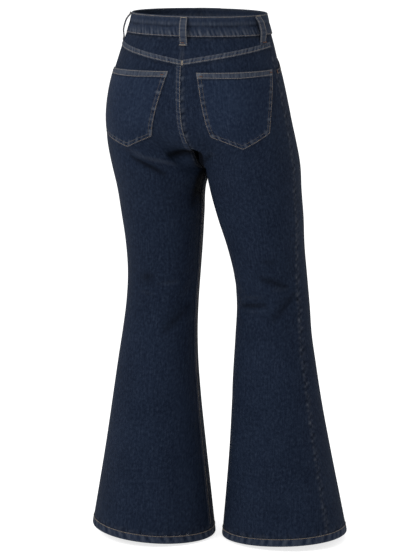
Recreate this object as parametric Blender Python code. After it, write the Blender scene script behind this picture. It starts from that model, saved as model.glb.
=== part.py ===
"""Flared denim jeans, worn and filled out with no wearer.

Metres, +Z up, the front faces -Y and the wearer's left is +X. The origin is the centre of
the waist opening, where the wearer holds the jeans up, so the cloth hangs below z = 0.

Every cloth piece lies on one worn form. A place on that form is named by three values:
the half of the body (LEFT or RIGHT), how far round that half it is (0 at the back seam or
the inseam's back, 1 at the front seam or the inseam's front) and its drop below the waist.
"""

import math

import bmesh
import bpy
import numpy as np

LEFT, RIGHT = 1, -1
SIDE_NAME = {LEFT: "left", RIGHT: "right"}

# Driving sizes of the cut
BAND_HEIGHT = 0.040
SEAT_DROP = 0.200
CROTCH_DROP = 0.305
CROTCH_REACH = 0.2
INSEAM_BLEND = 0.040
HEM_HEIGHT = 0.0165
YOKE_BACK_DROP = 0.088
YOKE_SIDE_DROP = 0.058
YOKE_SWEEP = 1.3
SEAM_GAP = 0.0003

# Thickness of each layer of cloth
CLOTH = 0.0015
BAND_CLOTH = 0.0030
BAND_PROUD = 0.0005
HEM_CLOTH = 0.0030
HEM_PROUD = 0.0007
POCKET_CLOTH = 0.0014
POCKET_LIFT = 0.0008
FACING_CLOTH = 0.0012
FACING_SINK = 0.0008

# Sections of the hips: the centre seam, the two sides, the front, the back, and how far
# each half of the seat and of the front stands out of the plain ellipse
HIPS = {
    "drop": (0.000, 0.037, 0.060, 0.090, 0.130, 0.170, 0.210, 0.250, 0.305, 0.345),
    "seam": (0.000, -0.001, -0.002, -0.003, -0.004, -0.005, -0.008, -0.013, -0.018, -0.019),
    "left": (0.134, 0.144, 0.152, 0.161, 0.173, 0.181, 0.185, 0.185, 0.177, 0.169),
    "right": (-0.134, -0.144, -0.151, -0.159, -0.170, -0.179, -0.187, -0.194, -0.201, -0.202),
    "front": (-0.102, -0.105, -0.107, -0.110, -0.113, -0.115, -0.115, -0.114, -0.112, -0.108),
    "back": (0.102, 0.107, 0.113, 0.121, 0.129, 0.132, 0.130, 0.122, 0.104, 0.090),
    "seat": (0.000, 0.000, 0.002, 0.006, 0.011, 0.016, 0.018, 0.016, 0.008, 0.000),
    "thigh": (0.000, 0.000, 0.001, 0.003, 0.006, 0.010, 0.014, 0.015, 0.008, 0.000),
}

# Sections of each leg, and how many degrees the two seams lie towards the back
LEGS = {
    LEFT: {
        "drop": (0.250, 0.305, 0.345, 0.400, 0.460, 0.520, 0.580, 0.640, 0.700, 0.780,
                 0.880, 0.970, 1.070),
        "inner": (-0.013, -0.018, -0.006, -0.002, 0.002, 0.007, 0.012, 0.015, 0.015, 0.010,
                  0.001, -0.008, -0.018),
        "outer": (0.185, 0.177, 0.169, 0.162, 0.155, 0.153, 0.158, 0.167, 0.177, 0.189,
                  0.205, 0.221, 0.2395),
        "front": (-0.115, -0.111, -0.108, -0.104, -0.100, -0.096, -0.094, -0.098, -0.108,
                  -0.120, -0.136, -0.149, -0.1595),
        "back": (0.116, 0.101, 0.090, 0.078, 0.067, 0.056, 0.047, 0.046, 0.052, 0.062,
                 0.072, 0.080, 0.0865),
        "inseam": (0, 0, 0, 0, 1, 1, 2, 2, 2, 2, 3, 3, 3),
        "outseam": (5, 4, 4, 3, 3, 2, 2, 2, 2, 2, 2, 2, 2),
    },
    RIGHT: {
        "drop": (0.250, 0.305, 0.345, 0.400, 0.460, 0.520, 0.580, 0.640, 0.700, 0.780,
                 0.880, 0.970, 1.070),
        "inner": (-0.013, -0.018, -0.024, -0.037, -0.055, -0.067, -0.069, -0.064, -0.059,
                  -0.053, -0.045, -0.036, -0.0265),
        "outer": (-0.194, -0.201, -0.202, -0.205, -0.206, -0.210, -0.214, -0.217, -0.224,
                  -0.235, -0.252, -0.2685, -0.2875),
        "front": (-0.115, -0.113, -0.112, -0.112, -0.112, -0.112, -0.114, -0.120, -0.132,
                  -0.147, -0.166, -0.182, -0.1955),
        "back": (0.116, 0.101, 0.090, 0.077, 0.064, 0.049, 0.034, 0.026, 0.027, 0.030,
                 0.033, 0.034, 0.034),
        "inseam": (0, 0, 0, -2, -5, -8, -11, -13, -15, -17, -19, -20, -21),
        "outseam": (11, 12, 14, 15, 19, 25, 28, 29, 29, 28.5, 29, 30, 30.5),
    },
}
SIDE_SEAM_TURN = 7.0

# Hems: drop at the back, and how much lower the inner side hangs
HEMS = {LEFT: (1.0565, 0.0085), RIGHT: (1.0580, 0.0065)}

# Folds: half, both ends as (round, drop), depth inwards and width
FOLDS = (
    {"half": LEFT, "start": (-0.020, 0.272), "end": (0.110, 0.268), "deep": 0.009, "wide": 0.013},
    {"half": LEFT, "start": (0.290, 0.280), "end": (0.150, 0.315), "deep": 0.005, "wide": 0.011},
    {"half": RIGHT, "start": (0.010, 0.276), "end": (0.090, 0.285), "deep": 0.005, "wide": 0.012},
    {"half": RIGHT, "start": (0.080, 0.572), "end": (0.270, 0.563), "deep": 0.004, "wide": 0.010},
    {"half": RIGHT, "start": (0.140, 0.592), "end": (0.240, 0.598), "deep": 0.003, "wide": 0.009},
    {"half": RIGHT, "start": (0.380, 0.528), "end": (0.260, 0.514), "deep": 0.003, "wide": 0.012},
    {"half": RIGHT, "start": (0.370, 0.550), "end": (0.290, 0.600), "deep": 0.003, "wide": 0.011},
    {"half": LEFT, "start": (0.060, 0.545), "end": (0.170, 0.625), "deep": 0.004, "wide": 0.016},
    {"half": LEFT, "start": (0.320, 0.545), "end": (0.200, 0.540), "deep": 0.002, "wide": 0.010},
    {"half": LEFT, "start": (0.910, 0.265), "end": (0.680, 0.235), "deep": 0.005, "wide": 0.013},
    {"half": RIGHT, "start": (0.920, 0.268), "end": (0.700, 0.225), "deep": 0.005, "wide": 0.012},
    {"half": LEFT, "start": (0.820, 0.520), "end": (0.650, 0.545), "deep": 0.003, "wide": 0.012},
    {"half": RIGHT, "start": (0.860, 0.530), "end": (0.700, 0.505), "deep": 0.003, "wide": 0.012},
)
FOLD_GIRTH = 0.56
FOLD_END = 0.35

# Half of a seam's gap, as a part of half the girth of the hips
HIP_HALF_GIRTH = 0.47
EDGE_GAP = SEAM_GAP / 2 / HIP_HALF_GIRTH

# Drops at which the panels have a row of points, below the yoke
PANEL_TOP_ROWS = 4
PANEL_START = 0.155
PANEL_ROWS = (0.178, 0.200, 0.221, 0.240, 0.252, 0.263, 0.274, 0.285, 0.297, 0.305, 0.315,
              0.330, 0.350, 0.380, 0.415, 0.450, 0.485, 0.512, 0.528, 0.545, 0.560, 0.573,
              0.586, 0.600, 0.620, 0.645, 0.680, 0.725, 0.775, 0.830, 0.890, 0.945, 0.995)
PANEL_COLUMNS = 11
FRONT_COLUMNS = 14

# Back pockets: corners as (round, drop) on the plain hips, and their grid
POCKETS = {
    LEFT: {
        "top_inner": (0.048, 0.1045),
        "top_outer": (0.420, 0.1085),
        "low_inner": (0.111, 0.2310),
        "low_outer": (0.373, 0.2340),
        "point": (0.215, 0.2565),
    },
    RIGHT: {
        "top_inner": (0.060, 0.1060),
        "top_outer": (0.421, 0.1040),
        "low_inner": (0.093, 0.2290),
        "low_outer": (0.338, 0.2225),
        "point": (0.208, 0.2525),
    },
}
POCKET_COLUMNS = 12
POCKET_ROWS = 10

# Front pockets: reach along the waist and down the side seam
SCOOP_WIDE = 0.098
SCOOP_DEEP = 0.065
SCOOP_STEPS = 7
SCOOP_CROWD = 1.5
FACING_MARGIN = 0.014

# Fly: flap, and the zip behind it
FLY_WIDE = 0.038
FLY_LAP = 0.004
FLY_STRAIGHT_DROP = 0.145
FLY_DROP = 0.183
FLY_CLOTH = 0.0014
ZIP_WIDE = 0.026
ZIP_DROP = 0.172
ZIP_TAPE = 0.0012
ZIP_SLIDER = (0.010, 0.014, 0.0026)

# Waistband lap at the front and its button
LAP_UNDER = 0.026
LAP_OVER = 0.010
LAP_EASE = 0.022
BAND_SECTIONS = 76
BUTTON_RADIUS = 0.0085
BUTTON_PLACE = 0.007
BUTTON_PROFILE = ((1.00, 0.0000), (1.06, 0.0008), (1.00, 0.0019), (0.86, 0.0022),
                  (0.74, 0.0017), (0.40, 0.0023))
BUTTON_STEPS = 28

# Belt loops: half and place round it, and the strip's path as (drop, gap off the cloth)
LOOP_WIDE = 0.0145
LOOP_CLOTH = 0.0022
LOOP_PATH = ((0.0012, 0.0009), (0.0055, 0.0014), (0.0105, 0.0042), (0.0165, 0.0064),
             (0.0250, 0.0072), (0.0340, 0.0070), (0.0420, 0.0052), (0.0480, 0.0022),
             (0.0520, 0.0007), (0.0565, 0.0004))
LOOPS = {
    "loop_back": (RIGHT, 0.006),
    "loop_side_left": (LEFT, 0.405),
    "loop_side_right": (RIGHT, 0.392),
    "loop_front_left": (LEFT, 0.760),
    "loop_front_right": (RIGHT, 0.760),
}
HEM_SECTIONS = 40

# Colour, roughness and metallic value of each finish
FINISHES = {
    "denim": ((0.018, 0.026, 0.048, 1.0), 0.85, 0.0),
    "denim_folded": ((0.024, 0.034, 0.060, 1.0), 0.85, 0.0),
    "zip_tape": ((0.012, 0.016, 0.030, 1.0), 0.80, 0.0),
    "button_metal": ((0.42, 0.25, 0.14, 1.0), 0.38, 1.0),
}


def clear_scene():
    for thing in list(bpy.data.objects):
        bpy.data.objects.remove(thing, do_unlink=True)


def finish(name):
    material = bpy.data.materials.get(name) or bpy.data.materials.new(name)
    colour, roughness, metallic = FINISHES[name]
    material.use_nodes = True
    shader = material.node_tree.nodes["Principled BSDF"]
    shader.inputs["Base Color"].default_value = colour
    shader.inputs["Roughness"].default_value = roughness
    shader.inputs["Metallic"].default_value = metallic
    return material


def ease(value):
    """Go smoothly from 0 to 1."""
    value = np.clip(value, 0.0, 1.0)
    return value * value * (3.0 - 2.0 * value)


def along(table, column, drop):
    """Read a column of a section table as one smooth curve through its rows."""
    places = np.asarray(table["drop"], float)
    sizes = np.asarray(table[column], float)
    steps = np.diff(places)
    slopes = np.diff(sizes) / steps
    inner = (slopes[:-1] * steps[1:] + slopes[1:] * steps[:-1]) / (steps[1:] + steps[:-1])
    tangents = np.concatenate([slopes[:1], inner, slopes[-1:]])
    drop = np.clip(np.asarray(drop, float), places[0], places[-1])
    row = np.clip(np.searchsorted(places, drop) - 1, 0, len(places) - 2)
    part = (drop - places[row]) / steps[row]
    lift = part * part * (3.0 - 2.0 * part)
    bend_in = part * (1.0 - part) ** 2 * steps[row] * tangents[row]
    bend_out = part * part * (part - 1.0) * steps[row] * tangents[row + 1]
    return (1.0 - lift) * sizes[row] + lift * sizes[row + 1] + bend_in + bend_out


def crotch_share(turn, drop):
    """How much of the leg's section a place takes, from 0 at the seat to 1 at the crotch.

    The seam follows a quarter ellipse under the body, and the rest eases over.
    """
    part = np.clip((drop - SEAT_DROP) / (CROTCH_DROP - SEAT_DROP), 0.0, 1.0)
    at_seam = 1.0 - np.sqrt(1.0 - part * part)
    away = ease(np.minimum(np.abs(turn), np.abs(1.0 - turn)) / CROTCH_REACH)
    return at_seam * (1.0 - away) + ease(part) * away


def smooth_form(half, turn, drop):
    """A point of the worn form with no folds in it."""
    turn, drop = np.broadcast_arrays(np.asarray(turn, float), np.asarray(drop, float))
    side = SIDE_NAME[half]
    seam, edge, front, back, seat, thigh = (
        along(HIPS, column, drop) for column in
        ("seam", side, "front", "back", "seat", "thigh"))
    hip_x = seam + (edge - seam) * np.sin(math.pi * turn)
    hip_y = (front + back) / 2 + (back - front) / 2 * np.cos(math.pi * turn)
    hip_y += np.where(turn < 0.5, seat, -thigh) * np.sin(2 * math.pi * turn) ** 2

    leg = LEGS[half]
    below = drop > CROTCH_DROP
    inner = np.where(below, along(leg, "inner", drop), seam)
    outer = np.where(below, along(leg, "outer", drop), edge)
    leg_front, leg_back = (along(leg, column, drop) for column in ("front", "back"))
    leg_x = (inner + outer) / 2 - (outer - inner) / 2 * np.cos(2 * math.pi * turn)
    leg_y = ((leg_front + leg_back) / 2
             + (leg_back - leg_front) / 2 * np.sin(2 * math.pi * turn))

    share = crotch_share(turn, drop)
    x = hip_x * (1.0 - share) + leg_x * share + half * SEAM_GAP / 2
    y = hip_y * (1.0 - share) + leg_y * share
    return np.stack([x, y, -drop], axis=-1)


def outward(form, half, turn, drop):
    """The form's outward direction, from the points just round a place."""
    small_turn, small_drop = 0.0008, 0.0005
    across = form(half, turn + small_turn, drop) - form(half, turn - small_turn, drop)
    down = form(half, turn, drop + small_drop) - form(half, turn, drop - small_drop)
    normal = half * np.cross(across, down)
    return normal / np.linalg.norm(normal, axis=-1, keepdims=True)


def fold_depth(half, turn, drop):
    """How far the folds sink the cloth at a place."""
    depth = np.zeros(np.broadcast(turn, drop).shape)
    for fold in FOLDS:
        if fold["half"] != half:
            continue
        start = np.array([fold["start"][0] * FOLD_GIRTH, fold["start"][1]])
        run = np.array([fold["end"][0] * FOLD_GIRTH, fold["end"][1]]) - start
        from_start = np.stack(np.broadcast_arrays(turn * FOLD_GIRTH - start[0],
                                                  drop - start[1]), axis=-1)
        part = np.clip(from_start @ run / (run @ run), 0.0, 1.0)
        aside = np.linalg.norm(from_start - part[..., None] * run, axis=-1)
        taper = FOLD_END + (1.0 - FOLD_END) * np.sin(math.pi * (0.15 + 0.7 * part))
        depth += fold["deep"] * taper * np.exp(-(aside / fold["wide"]) ** 2)
    return depth


def folded_form(half, turn, drop):
    turn, drop = np.broadcast_arrays(np.asarray(turn, float), np.asarray(drop, float))
    sunk = fold_depth(half, turn, drop)[..., None]
    return smooth_form(half, turn, drop) - outward(smooth_form, half, turn, drop) * sunk


def cloth_point(half, turn, drop, out=0.0):
    """A point of the worn form, moved out along its own direction."""
    return (folded_form(half, turn, drop)
            + outward(folded_form, half, turn, drop) * np.asarray(out, float)[..., None])


def side_seam(half, drop):
    """How far round the side seam lies."""
    at_hip = 0.5 - SIDE_SEAM_TURN / 180
    on_leg = 0.5 - along(LEGS[half], "outseam", drop) / 360
    share = ease((drop - SEAT_DROP) / (CROTCH_DROP - SEAT_DROP))
    return at_hip * (1.0 - share) + on_leg * share


def inseam(half, drop):
    """How far round the inseam lies, towards the back from the leg's inner line."""
    share = ease((drop - CROTCH_DROP) / INSEAM_BLEND)
    return along(LEGS[half], "inseam", drop) / 360 * share


def inseam_gap(drop):
    """Half of the gap between two panels at the inseam, which the centre seams ease into."""
    return EDGE_GAP * ease((drop - SEAT_DROP) / (CROTCH_DROP - SEAT_DROP))


def yoke_line(half, turn):
    """Drop of the slanted seam between the yoke and the back panel."""
    part = np.clip(turn / side_seam(half, YOKE_SIDE_DROP), 0.0, 1.0)
    return YOKE_SIDE_DROP + (YOKE_BACK_DROP - YOKE_SIDE_DROP) * (1.0 - part) ** YOKE_SWEEP


def hem_line(half, turn):
    """Drop of the hem's edge, highest on the outer side of the leg."""
    drop, tilt = HEMS[half]
    return drop + tilt * np.cos(2 * math.pi * turn)


def new_object(name, bm, finish_name):
    bmesh.ops.recalc_face_normals(bm, faces=bm.faces)
    mesh = bpy.data.meshes.new(name)
    bm.to_mesh(mesh)
    bm.free()
    mesh.materials.append(finish(finish_name))
    mesh.shade_smooth()
    mesh.set_sharp_from_angle(angle=math.radians(40))
    thing = bpy.data.objects.new(name, mesh)
    bpy.context.scene.collection.objects.link(thing)
    return thing


def cloth_piece(name, outer, inner, finish_name="denim"):
    """A wall of cloth between two grids of points, closed along its four edges."""
    rows, columns = outer.shape[:2]
    bm = bmesh.new()
    faces = []
    for grid in (outer, inner):
        vertices = [[bm.verts.new(point) for point in row] for row in grid]
        faces.append(vertices)
        for row in range(rows - 1):
            for column in range(columns - 1):
                bm.faces.new((vertices[row][column], vertices[row][column + 1],
                              vertices[row + 1][column + 1], vertices[row + 1][column]))
    rims = []
    for vertices in faces:
        rims.append(vertices[0]
                    + [row[-1] for row in vertices[1:]]
                    + vertices[-1][-2::-1]
                    + [row[0] for row in vertices[-2:0:-1]])
    for place in range(len(rims[0])):
        after = (place + 1) % len(rims[0])
        bm.faces.new((rims[0][place], rims[0][after], rims[1][after], rims[1][place]))
    return new_object(name, bm, finish_name)


def swept_piece(name, sections, closed=False, finish_name="denim"):
    """A solid through a row of equal outlines, with flat ends or joined into a ring."""
    bm = bmesh.new()
    rings = [[bm.verts.new(point) for point in section] for section in sections]
    count = len(rings[0])
    pairs = list(zip(rings, rings[1:] + rings[:1])) if closed else list(zip(rings, rings[1:]))
    for first, second in pairs:
        for place in range(count):
            after = (place + 1) % count
            bm.faces.new((first[place], first[after], second[after], second[place]))
    if not closed:
        bm.faces.new(rings[0])
        bm.faces.new(rings[-1])
    return new_object(name, bm, finish_name)


def wall_on_form(name, half, turn, drop, out=0.0, thick=CLOTH, finish_name="denim"):
    """A piece of cloth whose outer face lies on the form, or off it by out."""
    outer = cloth_point(half, turn, drop, out)
    inner = cloth_point(half, turn, drop, np.asarray(out, float) - thick)
    return cloth_piece(name, outer, inner, finish_name)


def panel_rows(top_edge, turn_columns):
    """Drops of a panel's points: its shaped top edge eases into level rows."""
    steps = np.arange(PANEL_TOP_ROWS)[:, None] / PANEL_TOP_ROWS
    top = top_edge[None, :] + (PANEL_START - top_edge[None, :]) * steps
    level = np.array((PANEL_START,) + PANEL_ROWS)[:, None] * np.ones((1, turn_columns))
    return np.concatenate([top, level])


def leg_panel(name, half, columns, top_edge, is_back):
    """A whole leg panel, from its top edge to the hem."""
    drop = panel_rows(top_edge, len(columns))
    drop = np.concatenate([drop, np.zeros((1, len(columns)))])
    level = drop[:, -1].copy()
    level[-1] = HEMS[half][0] - HEM_HEIGHT
    side = side_seam(half, level)[:, None]
    seam = inseam(half, level)[:, None]
    gap = inseam_gap(level)[:, None]
    if is_back:
        first, last = seam + gap, side - EDGE_GAP
    else:
        first, last = side + EDGE_GAP, 1.0 + seam - gap
    turn = first + (last - first) * columns[None, :]
    drop[-1] = hem_line(half, turn[-1]) - HEM_HEIGHT - SEAM_GAP
    return wall_on_form(name, half, turn, drop)


def waist_edge():
    """Drop of a panel's edge just under the waistband."""
    return BAND_HEIGHT + SEAM_GAP / 2


def side_reach(half):
    """Length of the front waist edge, from the side seam to the front seam."""
    turn = np.linspace(side_seam(half, BAND_HEIGHT), 1.0, 41)
    points = smooth_form(half, turn, BAND_HEIGHT)
    return np.linalg.norm(np.diff(points, axis=0), axis=1).sum()


def scoop_columns(half):
    """Places of the front panel's columns, close together where the pocket is cut."""
    wide = SCOOP_WIDE / side_reach(half)
    curve = wide * (1.0 - np.linspace(1.0, 0.0, SCOOP_STEPS + 1) ** SCOOP_CROWD)
    rest = np.linspace(wide, 1.0, FRONT_COLUMNS - SCOOP_STEPS + 1)[1:]
    return np.concatenate([curve, rest]), wide


def make_backs():
    for half in (LEFT, RIGHT):
        columns = np.linspace(0.0, 1.0, PANEL_COLUMNS + 1)
        at_top = columns * side_seam(half, YOKE_SIDE_DROP)
        edge = yoke_line(half, at_top) + SEAM_GAP / 2
        leg_panel("back_" + SIDE_NAME[half], half, columns, edge, is_back=True)


def make_fronts():
    for half in (LEFT, RIGHT):
        columns, wide = scoop_columns(half)
        part = np.clip(columns / wide, 0.0, 1.0)
        edge = waist_edge() + SCOOP_DEEP * np.sqrt(1.0 - part * part)
        leg_panel("front_" + SIDE_NAME[half], half, columns, edge, is_back=False)


def make_facings():
    """The cloth that shows in each front pocket's scoop, behind the front panel."""
    for half in (LEFT, RIGHT):
        depth = SCOOP_DEEP + FACING_MARGIN
        drop = waist_edge() + SEAM_GAP + depth * np.linspace(0.0, 1.0, 6)[:, None]
        share = (SCOOP_WIDE + FACING_MARGIN) / side_reach(half)
        side = side_seam(half, drop) + EDGE_GAP
        columns = np.linspace(0.0, 1.0, 10)[None, :]
        turn = side + (1.0 - side) * share * columns
        drop = drop * np.ones_like(columns)
        wall_on_form("facing_" + SIDE_NAME[half], half, turn, drop,
                     out=-(CLOTH + FACING_SINK), thick=FACING_CLOTH)


def make_yokes():
    for half in (LEFT, RIGHT):
        edge = side_seam(half, YOKE_SIDE_DROP) - EDGE_GAP
        turn = np.linspace(0.0, 1.0, PANEL_COLUMNS + 1) * edge
        bottom = yoke_line(half, turn) - SEAM_GAP / 2
        steps = np.linspace(0.0, 1.0, 4)[:, None]
        drop = waist_edge() + (bottom - waist_edge()) * steps
        wall_on_form("yoke_" + SIDE_NAME[half], half, turn * np.ones_like(drop), drop)


def keep_straight(half, turn, drop):
    """The turn that keeps a place as far sideways as it is on the plain hips."""
    seam, edge = along(HIPS, "seam", drop), along(HIPS, SIDE_NAME[half], drop)
    wanted = seam + (edge - seam) * np.sin(math.pi * turn) + half * SEAM_GAP / 2
    step = 0.001
    for _ in range(5):
        here = smooth_form(half, turn, drop)[..., 0]
        ahead = smooth_form(half, turn + step, drop)[..., 0]
        turn = turn + (wanted - here) * step / (ahead - here)
    return turn


def make_back_pockets():
    """Five sided patches, each laid on its panel by the panel's own points."""
    columns = np.linspace(0.0, 1.0, POCKET_COLUMNS + 1)
    rows = np.linspace(0.0, 1.0, POCKET_ROWS + 1)[:, None]
    for half, corners in POCKETS.items():
        corner = {key: np.array(value) for key, value in corners.items()}
        top_run = corner["top_outer"] - corner["top_inner"]
        top = corner["top_inner"] + top_run * columns[:, None]
        low_run = corner["low_outer"] - corner["low_inner"]
        low_places = (0.0, (corner["point"] - corner["low_inner"])[0] / low_run[0], 1.0)
        low = np.stack([np.interp(columns, low_places, [corner[key][axis] for key in
                                                        ("low_inner", "point", "low_outer")])
                        for axis in (0, 1)], axis=-1)
        grid = top[None] + (low - top)[None] * rows[..., None]
        turn = keep_straight(half, grid[..., 0], grid[..., 1])
        wall_on_form("pocket_" + SIDE_NAME[half], half, turn, grid[..., 1],
                     out=POCKET_LIFT + POCKET_CLOTH, thick=POCKET_CLOTH,
                     finish_name="denim_folded")


def band_lift(angle):
    """How far the lapped end stands off the layer under it."""
    left = along(HIPS, "left", 0.0)
    past_front = (angle - math.pi) * left
    return (BAND_CLOTH + SEAM_GAP) * ease((past_front + LAP_UNDER + LAP_EASE) / LAP_EASE)


def band_point(angle, drop, out):
    """A point round the waist: the angle is 0 at the back, and past pi at each lapped end."""
    half = LEFT if angle >= 0 else RIGHT
    turn = abs(angle) / math.pi
    if turn > 1.0:
        half, turn = -half, 2.0 - turn
    return cloth_point(half, np.array([turn]), np.array([drop]), np.array([out]))[0]


def make_waistband():
    """One strip from its inner end, round the right side and the back, to its outer end."""
    width = along(HIPS, "left", 0.0)
    start = -(math.pi + LAP_UNDER / width)
    end = math.pi + LAP_OVER / width
    sections = []
    for angle in np.linspace(start, end, BAND_SECTIONS + 1):
        outer = BAND_PROUD + band_lift(angle)
        inner = outer - BAND_CLOTH
        bottom = BAND_HEIGHT - SEAM_GAP / 2
        sections.append([band_point(angle, 0.0, outer), band_point(angle, bottom, outer),
                         band_point(angle, bottom, inner), band_point(angle, 0.0, inner)])
    swept_piece("waistband", sections, finish_name="denim_folded")


def make_fly_flap():
    """The doubled edge of the left front, with its J shaped foot, over the front seam."""
    reach = side_reach(LEFT)
    share = FLY_WIDE / reach
    from_edge = np.concatenate([np.sin(np.linspace(0.0, math.pi / 2, 5)[::-1]), [-0.1]])
    turn = 1.0 - from_edge * share * (1.0 - side_seam(LEFT, BAND_HEIGHT))
    turn[-1] = 1.0 + FLY_LAP / reach * (1.0 - side_seam(LEFT, BAND_HEIGHT))
    curve = np.sqrt(1.0 - np.clip(from_edge, 0.0, 1.0) ** 2)
    foot = FLY_STRAIGHT_DROP + (FLY_DROP - FLY_STRAIGHT_DROP) * curve
    top = waist_edge() + SEAM_GAP
    drop = top + (foot[None, :] - top) * np.linspace(0.0, 1.0, 9)[:, None]
    wall_on_form("fly_flap", LEFT, turn[None, :] * np.ones_like(drop), drop,
                 out=POCKET_LIFT + FLY_CLOTH, thick=FLY_CLOTH, finish_name="denim_folded")


def make_fly_zip():
    """The closed zip's tape behind the front seam, with its slider's body at the top."""
    reach = side_reach(LEFT)
    per_metre = (1.0 - side_seam(LEFT, BAND_HEIGHT)) / reach
    slider_wide, slider_high, slider_thick = ZIP_SLIDER
    places = np.array([-ZIP_WIDE / 2, -slider_wide / 2, 0.0, slider_wide / 2, ZIP_WIDE / 2])
    turn = 1.0 + places * per_metre
    top = waist_edge() + 0.004
    levels = np.concatenate([[top, top + slider_high, top + slider_high + 0.001],
                             np.linspace(0.075, ZIP_DROP, 6)])
    drop = levels[:, None] * np.ones((1, len(places)))
    turn = turn[None, :] * np.ones_like(drop)
    back_face = np.full(drop.shape, -(CLOTH + POCKET_LIFT + ZIP_TAPE))
    back_face[:2, 1:4] -= slider_thick
    outer = cloth_point(LEFT, turn, drop, np.full(drop.shape, -(CLOTH + POCKET_LIFT)))
    inner = cloth_point(LEFT, turn, drop, back_face)
    cloth_piece("fly_zip", outer, inner, "zip_tape")


def make_loops():
    """Belt loops: strips fixed at both ends that stand off the band between them."""
    for name, (half, place) in LOOPS.items():
        at_waist = smooth_form(half, np.array([place - 0.01, place + 0.01]), BAND_HEIGHT)
        per_metre = 0.02 / np.linalg.norm(at_waist[1] - at_waist[0])
        turn = place + LOOP_WIDE * per_metre * np.linspace(-0.5, 0.5, 5)
        path = np.array(LOOP_PATH)
        gap = path[:, 1] + np.where(path[:, 0] < BAND_HEIGHT, BAND_PROUD, 0.0)
        drop = path[:, :1] * np.ones((1, len(turn)))
        out = gap[:, None] * np.ones_like(drop)
        turn = turn[None, :] * np.ones_like(drop)
        cloth_piece(name, cloth_point(half, turn, drop, out + LOOP_CLOTH),
                    cloth_point(half, turn, drop, out), "denim_folded")


def make_button():
    """A turned metal button with a rolled edge and a low crown, on the lapped end."""
    width = along(HIPS, "left", 0.0)
    angle = math.pi - BUTTON_PLACE / width
    foot_out = BAND_PROUD + BAND_CLOTH + SEAM_GAP * 2
    foot = band_point(angle, BAND_HEIGHT / 2, foot_out)
    axis = foot - band_point(angle, BAND_HEIGHT / 2, 0.0)
    axis /= np.linalg.norm(axis)
    across = np.cross(axis, [0.0, 0.0, 1.0])
    across /= np.linalg.norm(across)
    upward = np.cross(across, axis)
    bm = bmesh.new()
    rings = []
    for share, height in BUTTON_PROFILE:
        ring = []
        for step in range(BUTTON_STEPS):
            turn = 2 * math.pi * step / BUTTON_STEPS
            spoke = math.cos(turn) * across + math.sin(turn) * upward
            ring.append(bm.verts.new(foot + axis * height + spoke * share * BUTTON_RADIUS))
        rings.append(ring)
    for first, second in zip(rings, rings[1:]):
        for step in range(BUTTON_STEPS):
            after = (step + 1) % BUTTON_STEPS
            bm.faces.new((first[step], first[after], second[after], second[step]))
    bm.faces.new(rings[0])
    bm.faces.new(rings[-1])
    new_object("waist_button", bm, "button_metal")


def make_hems():
    """The turned up foot of each leg, a ring of folded cloth."""
    for half in (LEFT, RIGHT):
        turn = np.arange(HEM_SECTIONS) / HEM_SECTIONS
        foot = hem_line(half, turn)
        top = foot - HEM_HEIGHT
        out = np.full(turn.shape, HEM_PROUD)
        corners = (cloth_point(half, turn, top, out), cloth_point(half, turn, foot, out),
                   cloth_point(half, turn, foot, out - HEM_CLOTH),
                   cloth_point(half, turn, top, out - HEM_CLOTH))
        sections = np.stack(corners, axis=1)
        swept_piece("hem_" + SIDE_NAME[half], sections, closed=True,
                    finish_name="denim_folded")


def main():
    clear_scene()
    make_waistband()
    make_yokes()
    make_backs()
    make_fronts()
    make_facings()
    make_fly_flap()
    make_fly_zip()
    make_back_pockets()
    make_loops()
    make_button()
    make_hems()


main()
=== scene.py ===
"""The looks of a pair of flared denim jeans, worn and filled out with no wearer.

Metres, +Z up, the front faces -Y and the wearer's left is +X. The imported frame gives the
solids. Each sheet of cloth here starts as a flat grid, which is laid on the same worn form
that the solids have, and then gets its folds, felled seams, puckers and stitches.

A place on the form is named by three values: the half of the body (LEFT or RIGHT), how far
round that half it is (0 at the back seam, 1 at the front seam) and its drop from the waist.
"""

import math

import bmesh
import bpy
import numpy as np
from bpy.props import FloatProperty, FloatVectorProperty, PointerProperty
from mathutils import Matrix, Vector


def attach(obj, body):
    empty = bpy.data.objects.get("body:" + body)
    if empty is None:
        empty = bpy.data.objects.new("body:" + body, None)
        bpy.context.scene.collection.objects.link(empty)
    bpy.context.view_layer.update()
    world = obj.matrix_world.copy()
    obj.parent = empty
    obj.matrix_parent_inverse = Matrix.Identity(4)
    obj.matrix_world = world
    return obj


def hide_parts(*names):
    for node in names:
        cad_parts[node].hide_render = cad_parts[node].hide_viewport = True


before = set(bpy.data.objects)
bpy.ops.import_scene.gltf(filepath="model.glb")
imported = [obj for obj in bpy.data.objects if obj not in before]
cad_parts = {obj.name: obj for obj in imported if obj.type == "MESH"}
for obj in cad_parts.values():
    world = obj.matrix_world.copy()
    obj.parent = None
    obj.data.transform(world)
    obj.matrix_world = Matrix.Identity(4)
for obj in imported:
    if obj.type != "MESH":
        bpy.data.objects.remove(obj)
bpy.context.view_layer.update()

bl_info = {
    "name": "Flared Jeans",
    "version": (1, 0, 0),
    "blender": (4, 5, 0),
    "location": "View3D > Sidebar > Jeans",
    "description": "Denim, stitching, fastenings and stage for a pair of flared jeans",
    "category": "Object",
}

LEFT, RIGHT = 1, -1
SIDE_NAME = {LEFT: "left", RIGHT: "right"}

# Driving sizes of the cut, as the solids have them
BAND_HEIGHT = 0.040
SEAT_DROP = 0.200
CROTCH_DROP = 0.305
INSEAM_BLEND = 0.040
HEM_HEIGHT = 0.0165
YOKE_BACK_DROP = 0.088
YOKE_SIDE_DROP = 0.058
YOKE_SWEEP = 1.3
SEAM_GAP = 0.0003
SIDE_SEAM_TURN = 7.0
BAND_CLOTH = 0.0030
BAND_PROUD = 0.0005
BAND_CREASE_DROP = 0.0195
BAND_RIDGE_DROP = 0.0150

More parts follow.
